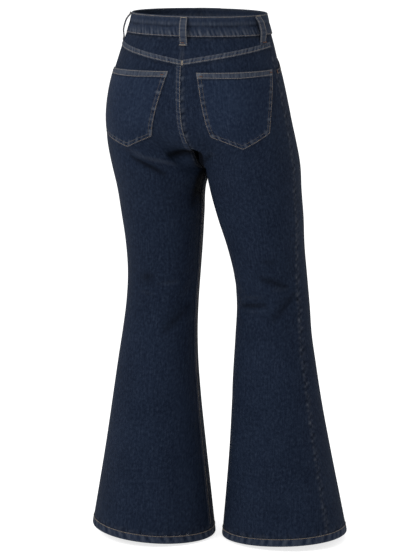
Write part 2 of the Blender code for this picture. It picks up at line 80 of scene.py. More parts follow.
# Sections of the hips: the centre seam, the two sides, the front, the back, and how far
# each half of the seat and of the front stands out of the plain ellipse
HIPS = {
    "drop": (0.000, 0.037, 0.060, 0.090, 0.130, 0.170, 0.210, 0.250, 0.305, 0.345),
    "seam": (0.000, -0.001, -0.002, -0.003, -0.004, -0.005, -0.008, -0.013, -0.018, -0.019),
    "left": (0.134, 0.144, 0.152, 0.161, 0.173, 0.181, 0.185, 0.185, 0.177, 0.169),
    "right": (-0.134, -0.144, -0.151, -0.159, -0.170, -0.179, -0.187, -0.194, -0.201, -0.202),
    "front": (-0.102, -0.105, -0.107, -0.110, -0.113, -0.115, -0.115, -0.114, -0.112, -0.108),
    "back": (0.102, 0.107, 0.113, 0.121, 0.129, 0.132, 0.130, 0.122, 0.104, 0.090),
    "seat": (0.000, 0.000, 0.002, 0.006, 0.011, 0.016, 0.018, 0.016, 0.008, 0.000),
    "thigh": (0.000, 0.000, 0.001, 0.003, 0.006, 0.010, 0.014, 0.015, 0.008, 0.000),
}

# Sections of each leg, and how many degrees the two seams lie towards the back
LEGS = {
    LEFT: {
        "drop": (0.250, 0.305, 0.345, 0.400, 0.460, 0.520, 0.580, 0.640, 0.700, 0.780,
                 0.880, 0.970, 1.070),
        "inner": (-0.013, -0.018, -0.006, -0.002, 0.002, 0.007, 0.012, 0.015, 0.015, 0.010,
                  0.001, -0.008, -0.018),
        "outer": (0.185, 0.177, 0.169, 0.162, 0.155, 0.153, 0.158, 0.167, 0.177, 0.189,
                  0.205, 0.221, 0.2395),
        "front": (-0.115, -0.111, -0.108, -0.104, -0.100, -0.096, -0.094, -0.098, -0.108,
                  -0.120, -0.136, -0.149, -0.1595),
        "back": (0.116, 0.101, 0.090, 0.078, 0.067, 0.056, 0.047, 0.046, 0.052, 0.062,
                 0.072, 0.080, 0.0865),
        "inseam": (0, 0, 0, 0, 1, 1, 2, 2, 2, 2, 3, 3, 3),
        "outseam": (5, 4, 4, 3, 3, 2, 2, 2, 2, 2, 2, 2, 2),
    },
    RIGHT: {
        "drop": (0.250, 0.305, 0.345, 0.400, 0.460, 0.520, 0.580, 0.640, 0.700, 0.780,
                 0.880, 0.970, 1.070),
        "inner": (-0.013, -0.018, -0.024, -0.037, -0.055, -0.067, -0.069, -0.064, -0.059,
                  -0.053, -0.045, -0.036, -0.0265),
        "outer": (-0.194, -0.201, -0.202, -0.205, -0.206, -0.210, -0.214, -0.217, -0.224,
                  -0.235, -0.252, -0.2685, -0.2875),
        "front": (-0.115, -0.113, -0.112, -0.112, -0.112, -0.112, -0.114, -0.120, -0.132,
                  -0.147, -0.166, -0.182, -0.1955),
        "back": (0.116, 0.101, 0.090, 0.077, 0.064, 0.049, 0.034, 0.026, 0.027, 0.030,
                 0.033, 0.034, 0.034),
        "inseam": (0, 0, 0, -2, -5, -8, -11, -13, -15, -17, -19, -20, -21),
        "outseam": (11, 12, 14, 15, 19, 25, 28, 29, 29, 28.5, 29, 30, 30.5),
    },
}

# Hems: their drop, and how much lower the inner side hangs, then the length round one and
# how many waves of each of two kinds its rope has
HEMS = {LEFT: (1.0565, 0.0085), RIGHT: (1.0580, 0.0065)}
HEM_ROUND = 0.7695
HEM_ROPES = (48, 31)

# Folds: half, start and end as (round, drop), depth inwards and width, all in metres.
# A fold with a depth under zero is a soft ridge. The ones above the small folds are in the
# solids too.
FOLDS = (
    (LEFT, (-0.020, 0.272), (0.110, 0.268), 0.009, 0.013),
    (LEFT, (0.290, 0.280), (0.150, 0.315), 0.005, 0.011),
    (RIGHT, (0.010, 0.276), (0.090, 0.285), 0.005, 0.012),
    (RIGHT, (0.080, 0.572), (0.270, 0.563), 0.004, 0.010),
    (RIGHT, (0.140, 0.592), (0.240, 0.598), 0.003, 0.009),
    (RIGHT, (0.380, 0.528), (0.260, 0.514), 0.003, 0.012),
    (RIGHT, (0.370, 0.550), (0.290, 0.600), 0.003, 0.011),
    (LEFT, (0.060, 0.545), (0.170, 0.625), 0.004, 0.016),
    (LEFT, (0.320, 0.545), (0.200, 0.540), 0.002, 0.010),
    (LEFT, (0.910, 0.265), (0.680, 0.235), 0.005, 0.013),
    (RIGHT, (0.920, 0.268), (0.700, 0.225), 0.005, 0.012),
    (LEFT, (0.820, 0.520), (0.650, 0.545), 0.003, 0.012),
    (RIGHT, (0.860, 0.530), (0.700, 0.505), 0.003, 0.012),
    # Small folds under the seat
    (LEFT, (-0.015, 0.277), (0.115, 0.276), 0.0060, 0.008),
    (LEFT, (0.250, 0.272), (0.120, 0.289), -0.0022, 0.009),
    (LEFT, (0.275, 0.279), (0.185, 0.309), 0.0030, 0.007),
    (LEFT, (0.030, 0.300), (0.120, 0.306), 0.0026, 0.008),
    (LEFT, (0.330, 0.262), (0.250, 0.270), 0.0014, 0.007),
    (RIGHT, (0.045, 0.287), (0.105, 0.270), 0.0026, 0.006),
    (RIGHT, (0.120, 0.290), (0.230, 0.282), 0.0016, 0.008),
    (RIGHT, (0.260, 0.300), (0.360, 0.284), 0.0012, 0.008),
    # Small folds at the back of the knees
    (RIGHT, (0.060, 0.540), (0.150, 0.548), 0.0014, 0.008),
    (RIGHT, (0.180, 0.545), (0.300, 0.538), -0.0012, 0.007),
    (RIGHT, (0.250, 0.512), (0.378, 0.532), 0.0018, 0.008),
    (RIGHT, (0.406, 0.546), (0.296, 0.600), 0.0015, 0.009),
    (RIGHT, (0.120, 0.615), (0.200, 0.622), 0.0012, 0.008),
    (RIGHT, (0.330, 0.575), (0.420, 0.560), 0.0014, 0.007),
    (LEFT, (0.060, 0.515), (0.160, 0.528), 0.0014, 0.008),
    (LEFT, (0.120, 0.560), (0.260, 0.566), 0.0013, 0.008),
    (LEFT, (0.230, 0.590), (0.330, 0.582), 0.0012, 0.009),
    # Small folds of the hidden front, at the hips and the knees
    (LEFT, (0.960, 0.240), (0.800, 0.200), 0.0022, 0.009),
    (LEFT, (0.930, 0.290), (0.760, 0.275), 0.0024, 0.010),
    (RIGHT, (0.950, 0.236), (0.820, 0.192), 0.0020, 0.009),
    (RIGHT, (0.940, 0.296), (0.740, 0.262), 0.0024, 0.010),
    (LEFT, (0.880, 0.560), (0.700, 0.575), 0.0018, 0.010),
    (RIGHT, (0.900, 0.566), (0.740, 0.552), 0.0018, 0.010),
    # Long soft flutes of the flares
    (LEFT, (0.150, 0.760), (0.120, 1.040), 0.0022, 0.026),
    (LEFT, (0.330, 0.700), (0.360, 1.040), 0.0018, 0.030),
    (LEFT, (0.640, 0.740), (0.620, 1.040), 0.0022, 0.028),
    (LEFT, (0.860, 0.780), (0.890, 1.040), 0.0020, 0.026),
    (RIGHT, (0.060, 0.780), (0.040, 1.040), 0.0020, 0.026),
    (RIGHT, (0.250, 0.720), (0.270, 1.040), 0.0018, 0.030),
    (RIGHT, (0.460, 0.800), (0.480, 1.040), 0.0022, 0.024),
    (RIGHT, (0.680, 0.740), (0.700, 1.040), 0.0022, 0.028),
    (RIGHT, (0.880, 0.780), (0.860, 1.040), 0.0020, 0.026),
)
FOLD_GIRTH = 0.56

# Lines of painted shade, in the creases and in the hollow between the thighs: half, start,
# end, darkness and width. A darkness over 1 makes the fully dark middle wider.
PAINTED_CREASE_SHADE = (
    (LEFT, (-0.030, 0.273), (0.125, 0.274), 1.30, 0.0060),
    (LEFT, (-0.020, 0.285), (0.040, 0.320), 1.30, 0.0130),
    (LEFT, (0.040, 0.322), (0.012, 0.370), 1.00, 0.0120),
    (LEFT, (0.275, 0.279), (0.185, 0.311), 0.80, 0.0050),
    (RIGHT, (0.004, 0.272), (0.010, 0.305), 1.20, 0.0100),
    (RIGHT, (0.045, 0.287), (0.105, 0.270), 0.45, 0.0040),
    (LEFT, (0.046, 0.324), (0.066, 0.372), 0.90, 0.0120),
    (RIGHT, (0.130, 0.575), (0.262, 0.568), 0.75, 0.0055),
    (RIGHT, (0.400, 0.548), (0.300, 0.597), 0.55, 0.0085),
    (RIGHT, (0.262, 0.514), (0.372, 0.531), 0.65, 0.0070),
    (RIGHT, (0.285, 0.478), (0.330, 0.478), 0.30, 0.0080),
    (LEFT, (0.255, 0.519), (0.290, 0.521), 0.55, 0.0090),
    (LEFT, (0.070, 0.582), (0.178, 0.628), 0.55, 0.0100),
    (LEFT, (0.880, 0.268), (0.700, 0.238), 0.40, 0.0050),
    (RIGHT, (0.890, 0.264), (0.720, 0.226), 0.40, 0.0050),
)

# Lines of painted highlight along the fold ridges, made paler in the same way
PAINTED_RIDGE_HIGHLIGHTS = (
    (LEFT, (0.250, 0.272), (0.130, 0.290), 0.22, 0.0060),
    (LEFT, (0.300, 0.258), (0.230, 0.266), 0.14, 0.0050),
    (RIGHT, (0.140, 0.268), (0.070, 0.262), 0.12, 0.0060),
    (RIGHT, (0.150, 0.556), (0.250, 0.552), 0.14, 0.0060),
    (RIGHT, (0.300, 0.536), (0.380, 0.534), 0.14, 0.0060),
    (RIGHT, (0.160, 0.584), (0.240, 0.583), 0.12, 0.0050),
    (LEFT, (0.130, 0.530), (0.220, 0.534), 0.14, 0.0070),
    (LEFT, (0.240, 0.556), (0.320, 0.552), 0.12, 0.0060),
)

# Back pockets: corners as (round, drop) on the plain hips, then how far a pocket stands off,
# its sewn margin, its top hem, its length and the rows and columns of its points
POCKETS = {
    LEFT: {
        "top_inner": (0.048, 0.1045),
        "top_outer": (0.420, 0.1085),
        "low_inner": (0.111, 0.2310),
        "low_outer": (0.373, 0.2340),
        "point": (0.215, 0.2565),
    },
    RIGHT: {
        "top_inner": (0.060, 0.1060),
        "top_outer": (0.421, 0.1040),
        "low_inner": (0.093, 0.2290),
        "low_outer": (0.338, 0.2225),
        "point": (0.208, 0.2525),
    },
}
POCKET_OUT = 0.0017
POCKET_MARGIN = 0.009
POCKET_HEM = 0.012
POCKET_LONG = 0.140
POCKET_GRID = (91, 85)

# Front pockets: reach along the waist and down the side seam
SCOOP_WIDE = 0.098
SCOOP_DEEP = 0.065
FACING_MARGIN = 0.014

# Fly, zip, lapped waist and its button. A tooth has its width, height and depth.
FLY_WIDE = 0.038
FLY_LAP = 0.004
FLY_STRAIGHT_DROP = 0.145
FLY_DROP = 0.183
ZIP_TOP = 0.058
ZIP_DROP = 0.170
ZIP_DEPTH = 0.0038
FLY_OUT = 0.0018
TOOTH = (0.0030, 0.00105, 0.0011)
TOOTH_PITCH = 0.00125
TOOTH_ASIDE = 0.0011
LAP_UNDER = 0.026
LAP_OVER = 0.010
LAP_EASE = 0.022
BUTTON_PLACE = 0.007
BUTTON_RADIUS = 0.0085
BUTTON_PROFILE = ((1.00, 0.0000), (1.05, 0.0004), (1.06, 0.0010), (1.03, 0.0017),
                  (0.96, 0.0021), (0.88, 0.0021), (0.80, 0.0016), (0.70, 0.0016),
                  (0.45, 0.0021), (0.20, 0.0023), (0.00, 0.0023))

# Thicknesses of the small sheets, and the gap between the cloth and a sheet inside it
TRIM_CLOTH = 0.0011
STRIP_CLOTH = 0.0005
HEM_CLOTH = 0.0024
INNER_GAP = 0.0006

# Widths that a leg panel's columns are counted on, without the front one's scoop
BACK_ROUND = 0.36
FRONT_ROUND = 0.30

# Felled seams: the middle and the two sewn rows, as shares of the width past the join, and
# how far the thread lies off the form
FELL_MIDDLE = 0.45
FELL_ROWS = (0.13, 0.76)
ON_FELL = 0.00100

# Inner edges of the plain seams: widths, and the drop where the pocket facings end
SIDE_EDGES_WIDE = 0.012
WAIST_EDGES_WIDE = 0.010
SIDE_FACING_DROP = 0.135

# Part of the seat seam that lies in the deep crease, where its thread is painted nearly black as
# shade
DARK_FROM = 0.243
DARK_TO = 0.350

# Belt loops: the strip's size, the rows and columns of its points, its path as drops and
# gaps off the cloth, and where each loop sits as its half and place round it
LOOP_WIDE = 0.0145
LOOP_THICK = 0.0020
LOOP_GRID = (44, 11)
LOOP_PATH = {
    "drop": (0.0012, 0.0055, 0.0105, 0.0165, 0.0250, 0.0340, 0.0420, 0.0480, 0.0520, 0.0565),
    "gap": (0.0009, 0.0014, 0.0042, 0.0064, 0.0072, 0.0070, 0.0052, 0.0022, 0.0007, 0.0004),
}
LOOPS = {
    "loop_back": (RIGHT, 0.006),
    "loop_side_left": (LEFT, 0.405),
    "loop_side_right": (RIGHT, 0.392),
    "loop_front_left": (LEFT, 0.760),
    "loop_front_right": (RIGHT, 0.760),
}

# Camera: its turn and rise in degrees, how far it stands off, what it looks at, its lens
# and its shift
VIEW_TURN = 198.0
VIEW_RISE = 10.5
VIEW_AWAY = 5.0
VIEW_AIM = (0.0, 0.0, -0.5316)
VIEW_LENS = 161.7
VIEW_SHIFT = 0.019

WHITE = (1.0, 1.0, 1.0, 1.0)
FLOOR_COLOUR = (0.45, 0.45, 0.45, 1.0)

# Least angle between two faces that keeps the edge between them sharp
SHARP = math.radians(50)

# Finishes of the two faces of a sheet
LINED = ("rinsed denim", "denim reverse")
FOLDED = ("folded denim",)
REVERSE = ("denim reverse",)

# Marks that a sheet carries for its finish: rubbed paler, with painted highlights on some
# fold ridges; beside a seam; and painted shade in creases, pucker troughs and under edges
MARKS = ("wear", "near", "shade")

# Weave of the denim: how steeply the twill lines run, the weft threads under them, and how
# fine its warp threads, its uneven yarns and its mottled dye are across and down
TWILL_SLOPE = 0.72
WEFT_PITCH = 0.00046
WARP_FINE = (1500.0, 70.0, 1.0)
YARN_FINE = (420.0, 26.0, 1.0)
MOTTLE_FINE = (210.0, 150.0, 1.0)

# Colours of the zip's teeth and its tape
ZIP_BRASS = (0.55, 0.38, 0.16)
ZIP_TAPE = (0.010, 0.013, 0.024)

# Rows of stitches, as lengths in from an edge or as shares of the felled seam's width
POCKET_ROWS = (0.0018, 0.0082)
POCKET_HEM_ROWS = (0.0016, POCKET_HEM - 0.0012)
SCOOP_ROWS = (0.0020, 0.0082)
FLY_ROWS = (0.0030, 0.0092)
BAND_ROWS = (0.0022, BAND_HEIGHT - 0.0020)
HEM_ROW = 0.0016
YOKE_ROW = 0.30
FRONT_ROWS = (0.26, 0.86)

# Tacks at the foot and the top of a belt loop and at a pocket's corner: how far out they
# lie, their width and their height. The last corners are shares across and down a pocket.
LOOP_FOOT_TACK = (0.0032, 0.0105, 0.0022)
LOOP_TOP_TACK = (0.0038, 0.0120, 0.0018)
CORNER_TACK = (POCKET_OUT + 0.0007, 0.0056, 0.0022)
TACKED_CORNERS = ((0.050, 0.055), (0.965, 0.045))

# Tacks placed one by one: half, round and drop, then the same three sizes
BROWN_TACKS = (
    (RIGHT, 0.002, 0.0515, 0.0030, 0.0060, 0.0020),
    (RIGHT, 0.400, 0.0530, *LOOP_FOOT_TACK),
)
PALE_TACKS = (
    (RIGHT, 0.003, 0.0885, 0.0014, 0.0026, 0.0120),
    (RIGHT, 0.002, 0.0552, 0.0028, 0.0125, 0.0018),
)

# Where a stitch starts and ends in its share of the row, how close a tack's stitches lie,
# and the thicker thread of the hems
STITCH_ENDS = (0.09, 0.91)
TACK_PITCH = 0.00062
HEM_THREAD_WIDE = 0.00078


def length_option(name, description, default, least):
    """An option of the add-on that is a length."""
    return FloatProperty(name=name, description=description, default=default, min=least,
                         unit="LENGTH")


def power_option(name, description, default, unit="NONE"):
    """An option that is a strength of light."""
    return FloatProperty(name=name, description=description, default=default, min=0.0,
                         unit=unit)


def colour_option(name, description, default):
    """An option that is a colour."""
    return FloatVectorProperty(name=name, description=description, default=default,
                               subtype="COLOR", min=0.0, max=1.0)


class JeansCloth(bpy.types.PropertyGroup):
    """Sizes and colours of the denim."""

    cell: length_option("Panel cell", "Width of one cell of a leg panel's grid", 0.0042, 0.002)
    cloth: length_option("Cloth", "Thickness of one layer of denim", 0.0013, 0.0005)
    fell_wide: length_option("Felled seam", "Width of a felled seam between its two edges",
                             0.0100, 0.004)
    pucker: length_option("Pucker", "Height of the puckers beside a sewn edge", 0.00045, 0.0)
    indigo: colour_option("Indigo", "Main colour of the rinsed denim",
                          (0.0080, 0.0134, 0.0266))
    deep_indigo: colour_option("Deep indigo", "Colour where the dye stays deepest",
                               (0.0028, 0.0054, 0.0128))
    # Also the colour of the painted highlights along fold ridges
    rubbed_indigo: colour_option("Rubbed indigo", "Colour of the edges that are rubbed paler",
                                 (0.058, 0.065, 0.079))
    reverse_colour: colour_option("Reverse", "Colour of the inner face of the cloth",
                                  (0.029, 0.038, 0.055))
    twill_pitch: length_option("Twill", "Distance between two slanted lines of the twill",
                               0.0011, 0.0003)


class JeansTrim(bpy.types.PropertyGroup):
    """Sizes and colours of the thread and the metal."""

    thread_wide: length_option("Thread", "Thickness of the sewing thread", 0.00062, 0.0002)
    stitch_pitch: length_option("Stitch", "Length of one stitch and its gap", 0.0033, 0.001)
    thread_colour: colour_option("Thread colour", "Grey tan thread of most seams",
                                 (0.200, 0.168, 0.132))
    hem_thread_colour: colour_option("Hem thread colour", "Warmer tan thread of the hems",
                                     (0.205, 0.158, 0.108))
    tack_colour: colour_option("Tack colour", "Brown thread of the tacks",
                               (0.080, 0.032, 0.018))
    metal_colour: colour_option("Metal colour", "Aged copper of the button",
                                (0.42, 0.25, 0.14))


class JeansStage(bpy.types.PropertyGroup):
    """Sizes and strengths of the stage."""

    floor_size: length_option("Floor", "Width of the floor", 60.0, 2.0)
    floor_drop: length_option("Floor drop", "How far the floor lies below the waist",
                              1.0680, 1.0)
    floor_glow: power_option("Floor glow", "Light of the floor's own, which keeps it pale", 0.74)
    sky: power_option("Sky", "Strength of the even light all round", 1.0)
    key: power_option("Main light", "Power of the large light at the left", 75.0, "POWER")
    fill: power_option("Fill light", "Power of the light above", 20.0, "POWER")


def ease(value):
    """Go smoothly from 0 to 1."""
    value = unit(value)
    return value * value * (3.0 - 2.0 * value)


def unit(value):
    """Keep a value between 0 and 1."""
    return np.clip(value, 0.0, 1.0)


def close_to(distance, width):
    """A mark that is 1 on a line and falls to 0 on both sides of it."""
    return np.exp(-(distance / width) ** 2)


def shares(count):
    """Even steps from 0 to 1."""
    return np.linspace(0.0, 1.0, count)


def along(table, column, drop):
    """Read a column of a section table as one smooth curve through its rows."""
    places = np.asarray(table["drop"], float)
    sizes = np.asarray(table[column], float)
    steps = np.diff(places)
    slopes = np.diff(sizes) / steps
    inner = (slopes[:-1] * steps[1:] + slopes[1:] * steps[:-1]) / (steps[1:] + steps[:-1])
    tangents = np.concatenate([slopes[:1], inner, slopes[-1:]])
    drop = np.clip(np.asarray(drop, float), places[0], places[-1])
    row = np.clip(np.searchsorted(places, drop) - 1, 0, len(places) - 2)
    part = (drop - places[row]) / steps[row]
    lift = part * part * (3.0 - 2.0 * part)
    bend_in = part * (1.0 - part) ** 2 * steps[row] * tangents[row]
    bend_out = part * part * (part - 1.0) * steps[row] * tangents[row + 1]
    return (1.0 - lift) * sizes[row] + lift * sizes[row + 1] + bend_in + bend_out


def crotch_share(turn, drop):
    """How much of the leg's section a place takes, from 0 at the seat to 1 at the crotch."""
    part = unit((drop - SEAT_DROP) / (CROTCH_DROP - SEAT_DROP))
    at_seam = 1.0 - np.sqrt(1.0 - part * part)
    away = ease(np.minimum(np.abs(turn), np.abs(1.0 - turn)) / 0.2)
    return at_seam * (1.0 - away) + ease(part) * away


def smooth_form(half, turn, drop):
    """A point of the worn form with no folds in it."""
    turn, drop = np.broadcast_arrays(np.asarray(turn, float), np.asarray(drop, float))
    side = SIDE_NAME[half]
    seam, edge, front, back, seat, thigh = (
        along(HIPS, column, drop) for column in
        ("seam", side, "front", "back", "seat", "thigh"))
    hip_x = seam + (edge - seam) * np.sin(math.pi * turn)
    hip_y = (front + back) / 2 + (back - front) / 2 * np.cos(math.pi * turn)
    hip_y += np.where(turn < 0.5, seat, -thigh) * np.sin(2 * math.pi * turn) ** 2

    leg = LEGS[half]
    below = drop > CROTCH_DROP
    inner = np.where(below, along(leg, "inner", drop), seam)
    outer = np.where(below, along(leg, "outer", drop), edge)
    leg_front, leg_back = (along(leg, column, drop) for column in ("front", "back"))
    leg_x = (inner + outer) / 2 - (outer - inner) / 2 * np.cos(2 * math.pi * turn)
    leg_y = ((leg_front + leg_back) / 2
             + (leg_back - leg_front) / 2 * np.sin(2 * math.pi * turn))

    share = crotch_share(turn, drop)
    x = hip_x * (1.0 - share) + leg_x * share + half * SEAM_GAP / 2
    y = hip_y * (1.0 - share) + leg_y * share
    return np.stack([x, y, -drop], axis=-1)


def outward(form, half, turn, drop):
    """The form's outward direction, from the points just round a place."""
    small_turn, small_drop = 0.0008, 0.0005
    across = form(half, turn + small_turn, drop) - form(half, turn - small_turn, drop)
    down = form(half, turn, drop + small_drop) - form(half, turn, drop - small_drop)
    normal = half * np.cross(across, down)
    return normal / np.linalg.norm(normal, axis=-1, keepdims=True)


def fold_depth(half, turn, drop, folds=FOLDS):
    """How far the folds sink the cloth, also just across the centre seams."""
    depth = np.zeros(np.broadcast(turn, drop).shape)
    for fold_half, start, end, deep, wide in folds:
        if fold_half == half:
            place = turn
        elif start[0] > 0.5:
            place = 2.0 - turn
        else:
            place = -turn
        first = np.array([start[0] * FOLD_GIRTH, start[1]])
        run = np.array([end[0] * FOLD_GIRTH, end[1]]) - first
        from_first = np.stack(np.broadcast_arrays(place * FOLD_GIRTH - first[0],
                                                  drop - first[1]), axis=-1)
        part = unit(from_first @ run / (run @ run))
        aside = np.linalg.norm(from_first - part[..., None] * run, axis=-1)
        taper = 0.35 + 0.65 * np.sin(math.pi * (0.15 + 0.7 * part))
        depth += deep * taper * close_to(aside, wide)
    return depth


def crease_shade(half, turn, drop):
    """How much painted shade the creases and hollows get at a place, from 0 to 1."""
    return unit(fold_depth(half, turn, drop, PAINTED_CREASE_SHADE))


def folded_form(half, turn, drop):
    """A point of the worn form with its folds."""
    turn, drop = np.broadcast_arrays(np.asarray(turn, float), np.asarray(drop, float))
    sunk = fold_depth(half, turn, drop)[..., None]
    return smooth_form(half, turn, drop) - outward(smooth_form, half, turn, drop) * sunk


def lay(half, turn, drop, out=0.0):
    """Points of the worn form moved out by some length, and the outward directions."""
    turn, drop = np.broadcast_arrays(np.asarray(turn, float), np.asarray(drop, float))
    normals = outward(folded_form, half, turn, drop)
    points = folded_form(half, turn, drop) + normals * (np.zeros_like(turn) + out)[..., None]
    return points, normals


def side_seam(half, drop):
    """How far round the side seam lies."""
    at_hip = 0.5 - SIDE_SEAM_TURN / 180
    on_leg = 0.5 - along(LEGS[half], "outseam", drop) / 360
    share = ease((drop - SEAT_DROP) / (CROTCH_DROP - SEAT_DROP))
    return at_hip * (1.0 - share) + on_leg * share


def inseam(half, drop):
    """How far round the inseam lies, towards the back from the leg's inner line."""
    share = ease((drop - CROTCH_DROP) / INSEAM_BLEND)
    return along(LEGS[half], "inseam", drop) / 360 * share


def yoke_line(half, turn):
    """Drop of the slanted seam between the yoke and the back panel."""
    part = unit(turn / side_seam(half, YOKE_SIDE_DROP))
    return YOKE_SIDE_DROP + (YOKE_BACK_DROP - YOKE_SIDE_DROP) * (1.0 - part) ** YOKE_SWEEP


def hem_line(half, turn):
    """Drop of the hem's edge, highest on the outer side of the leg."""
    drop, tilt = HEMS[half]
    return drop + tilt * np.cos(2 * math.pi * turn)


def metres_round(half, turn, drop):
    """Length on the form of one whole unit of turn, at a place."""
    small = 0.004
    turn = np.asarray(turn, float)
    step = smooth_form(half, turn + small, drop) - smooth_form(half, turn - small, drop)
    return np.linalg.norm(step, axis=-1) / (2 * small)


def wobble(length, seed=0.0, stretch=1.0):
    """An uneven wave along a seam, from about -1 to 1, that never quite repeats."""
    length = np.asarray(length, float) / stretch
    return (0.50 * np.sin(2 * math.pi * length / 0.0073 + seed)
            + 0.32 * np.sin(2 * math.pi * length / 0.0111 + 2.3 * seed + 1.0)
            + 0.24 * np.sin(2 * math.pi * length / 0.0171 + 0.7 * seed + 2.1))


def lengths(points, axis):
    """Length along a grid of points from its first row or column."""
    steps = np.linalg.norm(np.diff(points, axis=axis), axis=-1)
    zero = np.zeros_like(np.take(steps, [0], axis=axis))
    return np.concatenate([zero, np.cumsum(steps, axis=axis)], axis=axis)


def grain_map(points):
    """Flat places of a grid of points, with the cloth's grain down its middle column."""
    across = lengths(points, 1)
    down = lengths(points, 0)
    middle = points.shape[1] // 2
    across = across - across[:, middle:middle + 1]
    return np.stack([across, -down], axis=-1)


def measured(half, turn, drop):
    """Lengths across and down a grid of places on the form."""
    points, _ = lay(half, turn, drop)
    return lengths(points, 1), lengths(points, 0)


def cut_of(points):
    """The width, length and area that a sheet was cut to."""
    across, down = lengths(points, 1), lengths(points, 0)
    wide, tall = float(across[:, -1].max()), float(down[-1].max())
    first = points[1:, 1:] - points[:-1, :-1]
    second = points[1:, :-1] - points[:-1, 1:]
    area = float(np.linalg.norm(np.cross(first, second), axis=-1).sum() / 2)
    return (wide, tall), min(area, wide * tall)


def mesh_of(bm, name):
    """A mesh from a bmesh, which is then freed."""
    mesh = bpy.data.meshes.new(name)
    bm.to_mesh(mesh)
    bm.free()
    return mesh


def show(name, data):
    """Put an object of a mesh, a lamp or a camera into the scene."""
    thing = bpy.data.objects.new(name, data)
    bpy.context.scene.collection.objects.link(thing)
    return thing


def sheet(name, points, normals, thick, looks, close=False, **marks):
    """A sheet of cloth, from a flat grid laid on the given points, with its wall inside.

    looks are the materials of its outer and its inner face. The marks run from 0 to 1, in the
    order of MARKS: the first says where the cloth is rubbed paler and where fold ridges get a
    painted highlight, the second where a seam puckers it, and the third is painted shade that
    darkens the colour in creases, pucker troughs and under edges.
    """
    rows, columns = points.shape[:2]
    bm = bmesh.new()
    bmesh.ops.create_grid(bm, x_segments=columns - 1, y_segments=rows - 1, size=0.5)
    mesh = mesh_of(bm, name)
    flat = np.empty(len(mesh.vertices) * 3)
    mesh.vertices.foreach_get("co", flat)
    flat = flat.reshape(-1, 3)
    column = np.rint((flat[:, 0] + 0.5) * (columns - 1)).astype(int)
    row = np.rint((0.5 - flat[:, 1]) * (rows - 1)).astype(int)
    mesh.vertices.foreach_set("co", points[row, column].ravel())
    for label in MARKS:
        spread = np.zeros((rows, columns)) + unit(marks.get(label, 0.0))
        layer = mesh.attributes.new(label, "FLOAT", "POINT")
        layer.data.foreach_set("value", spread[row, column])
    mesh.update()
    facing = np.empty(len(mesh.polygons) * 3)
    mesh.polygons.foreach_get("normal", facing)
    corners = np.empty(len(mesh.loops), dtype=int)
    mesh.loops.foreach_get("vertex_index", corners)
    straight = (facing.reshape(-1, 3) * normals[row, column][corners[::4]]).sum()
    if straight < 0:
        mesh.flip_normals()
        mesh.loops.foreach_get("vertex_index", corners)
    layer = mesh.uv_layers.new(name="cloth")
    layer.data.foreach_set("uv", grain_map(points)[row, column][corners].ravel())
    if close:
        bm = bmesh.new()
        bm.from_mesh(mesh)
        bmesh.ops.remove_doubles(bm, verts=bm.verts, dist=0.00001)
        bm.to_mesh(mesh)
        bm.free()
    for each in looks:
        mesh.materials.append(look(each))
    thing = show(name, mesh)
    wall = thing.modifiers.new("wall", "SOLIDIFY")
    wall.thickness = thick
    wall.offset = -1.0
    wall.material_offset = len(looks) - 1
    settle(thing)
    return thing


def piece(name, laid, thick, held, looks=FOLDED, rests_on=None, node=None, close=False,
          **marks):
    """A sheet that is a piece of the jeans, joined to them. Its cut is worked out but not kept,
    and held is not used.

    laid holds its points and outward directions, and node names the solid that it replaces.
    """
    points, normals = laid
    thing = sheet(name, points, normals, thick, looks, close, **marks)
    wear_it(thing, node)
    (wide, tall), area = cut_of(points)


def settle(thing):
    """Apply a piece's modifiers, and shade it smooth except at its sharp edges."""
    bpy.context.view_layer.update()
    graph = bpy.context.evaluated_depsgraph_get()
    made = bpy.data.meshes.new_from_object(thing.evaluated_get(graph))
    thing.modifiers.clear()
    old = thing.data
    name = old.name
    thing.data = made
    bpy.data.meshes.remove(old)
    made.name = name
    made.shade_smooth()
    made.set_sharp_from_angle(angle=SHARP)


def wear_it(thing, node=None):
    """Join a piece to the jeans, in the place of its solid where it has one."""
    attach(thing, "root")
    if node:
        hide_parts(node)


class Socket:
    """One output of a shader node. A sum or product of sockets adds its Math nodes."""

    def __init__(self, board, output):
        self.board = board
        self.output = output

    def math(self, operation, first, second=0.0):
        """One Math node."""
        return self.board.node("ShaderNodeMath", {"operation": operation},
                               {0: first, 1: second})

    def __add__(self, other):
        return self.math("ADD", self, other)

    def __radd__(self, other):
        return self.math("ADD", other, self)

    def __sub__(self, other):
        return self.math("SUBTRACT", self, other)

    def __rsub__(self, other):
        return self.math("SUBTRACT", other, self)

    def __mul__(self, other):
        return self.math("MULTIPLY", self, other)

    def __rmul__(self, other):
        return self.math("MULTIPLY", other, self)

    def wave(self, pitch):
        """An even wave from 0 to 1, once for each pitch."""
        return self.math("SINE", self * (2 * math.pi / pitch)) * 0.5 + 0.5


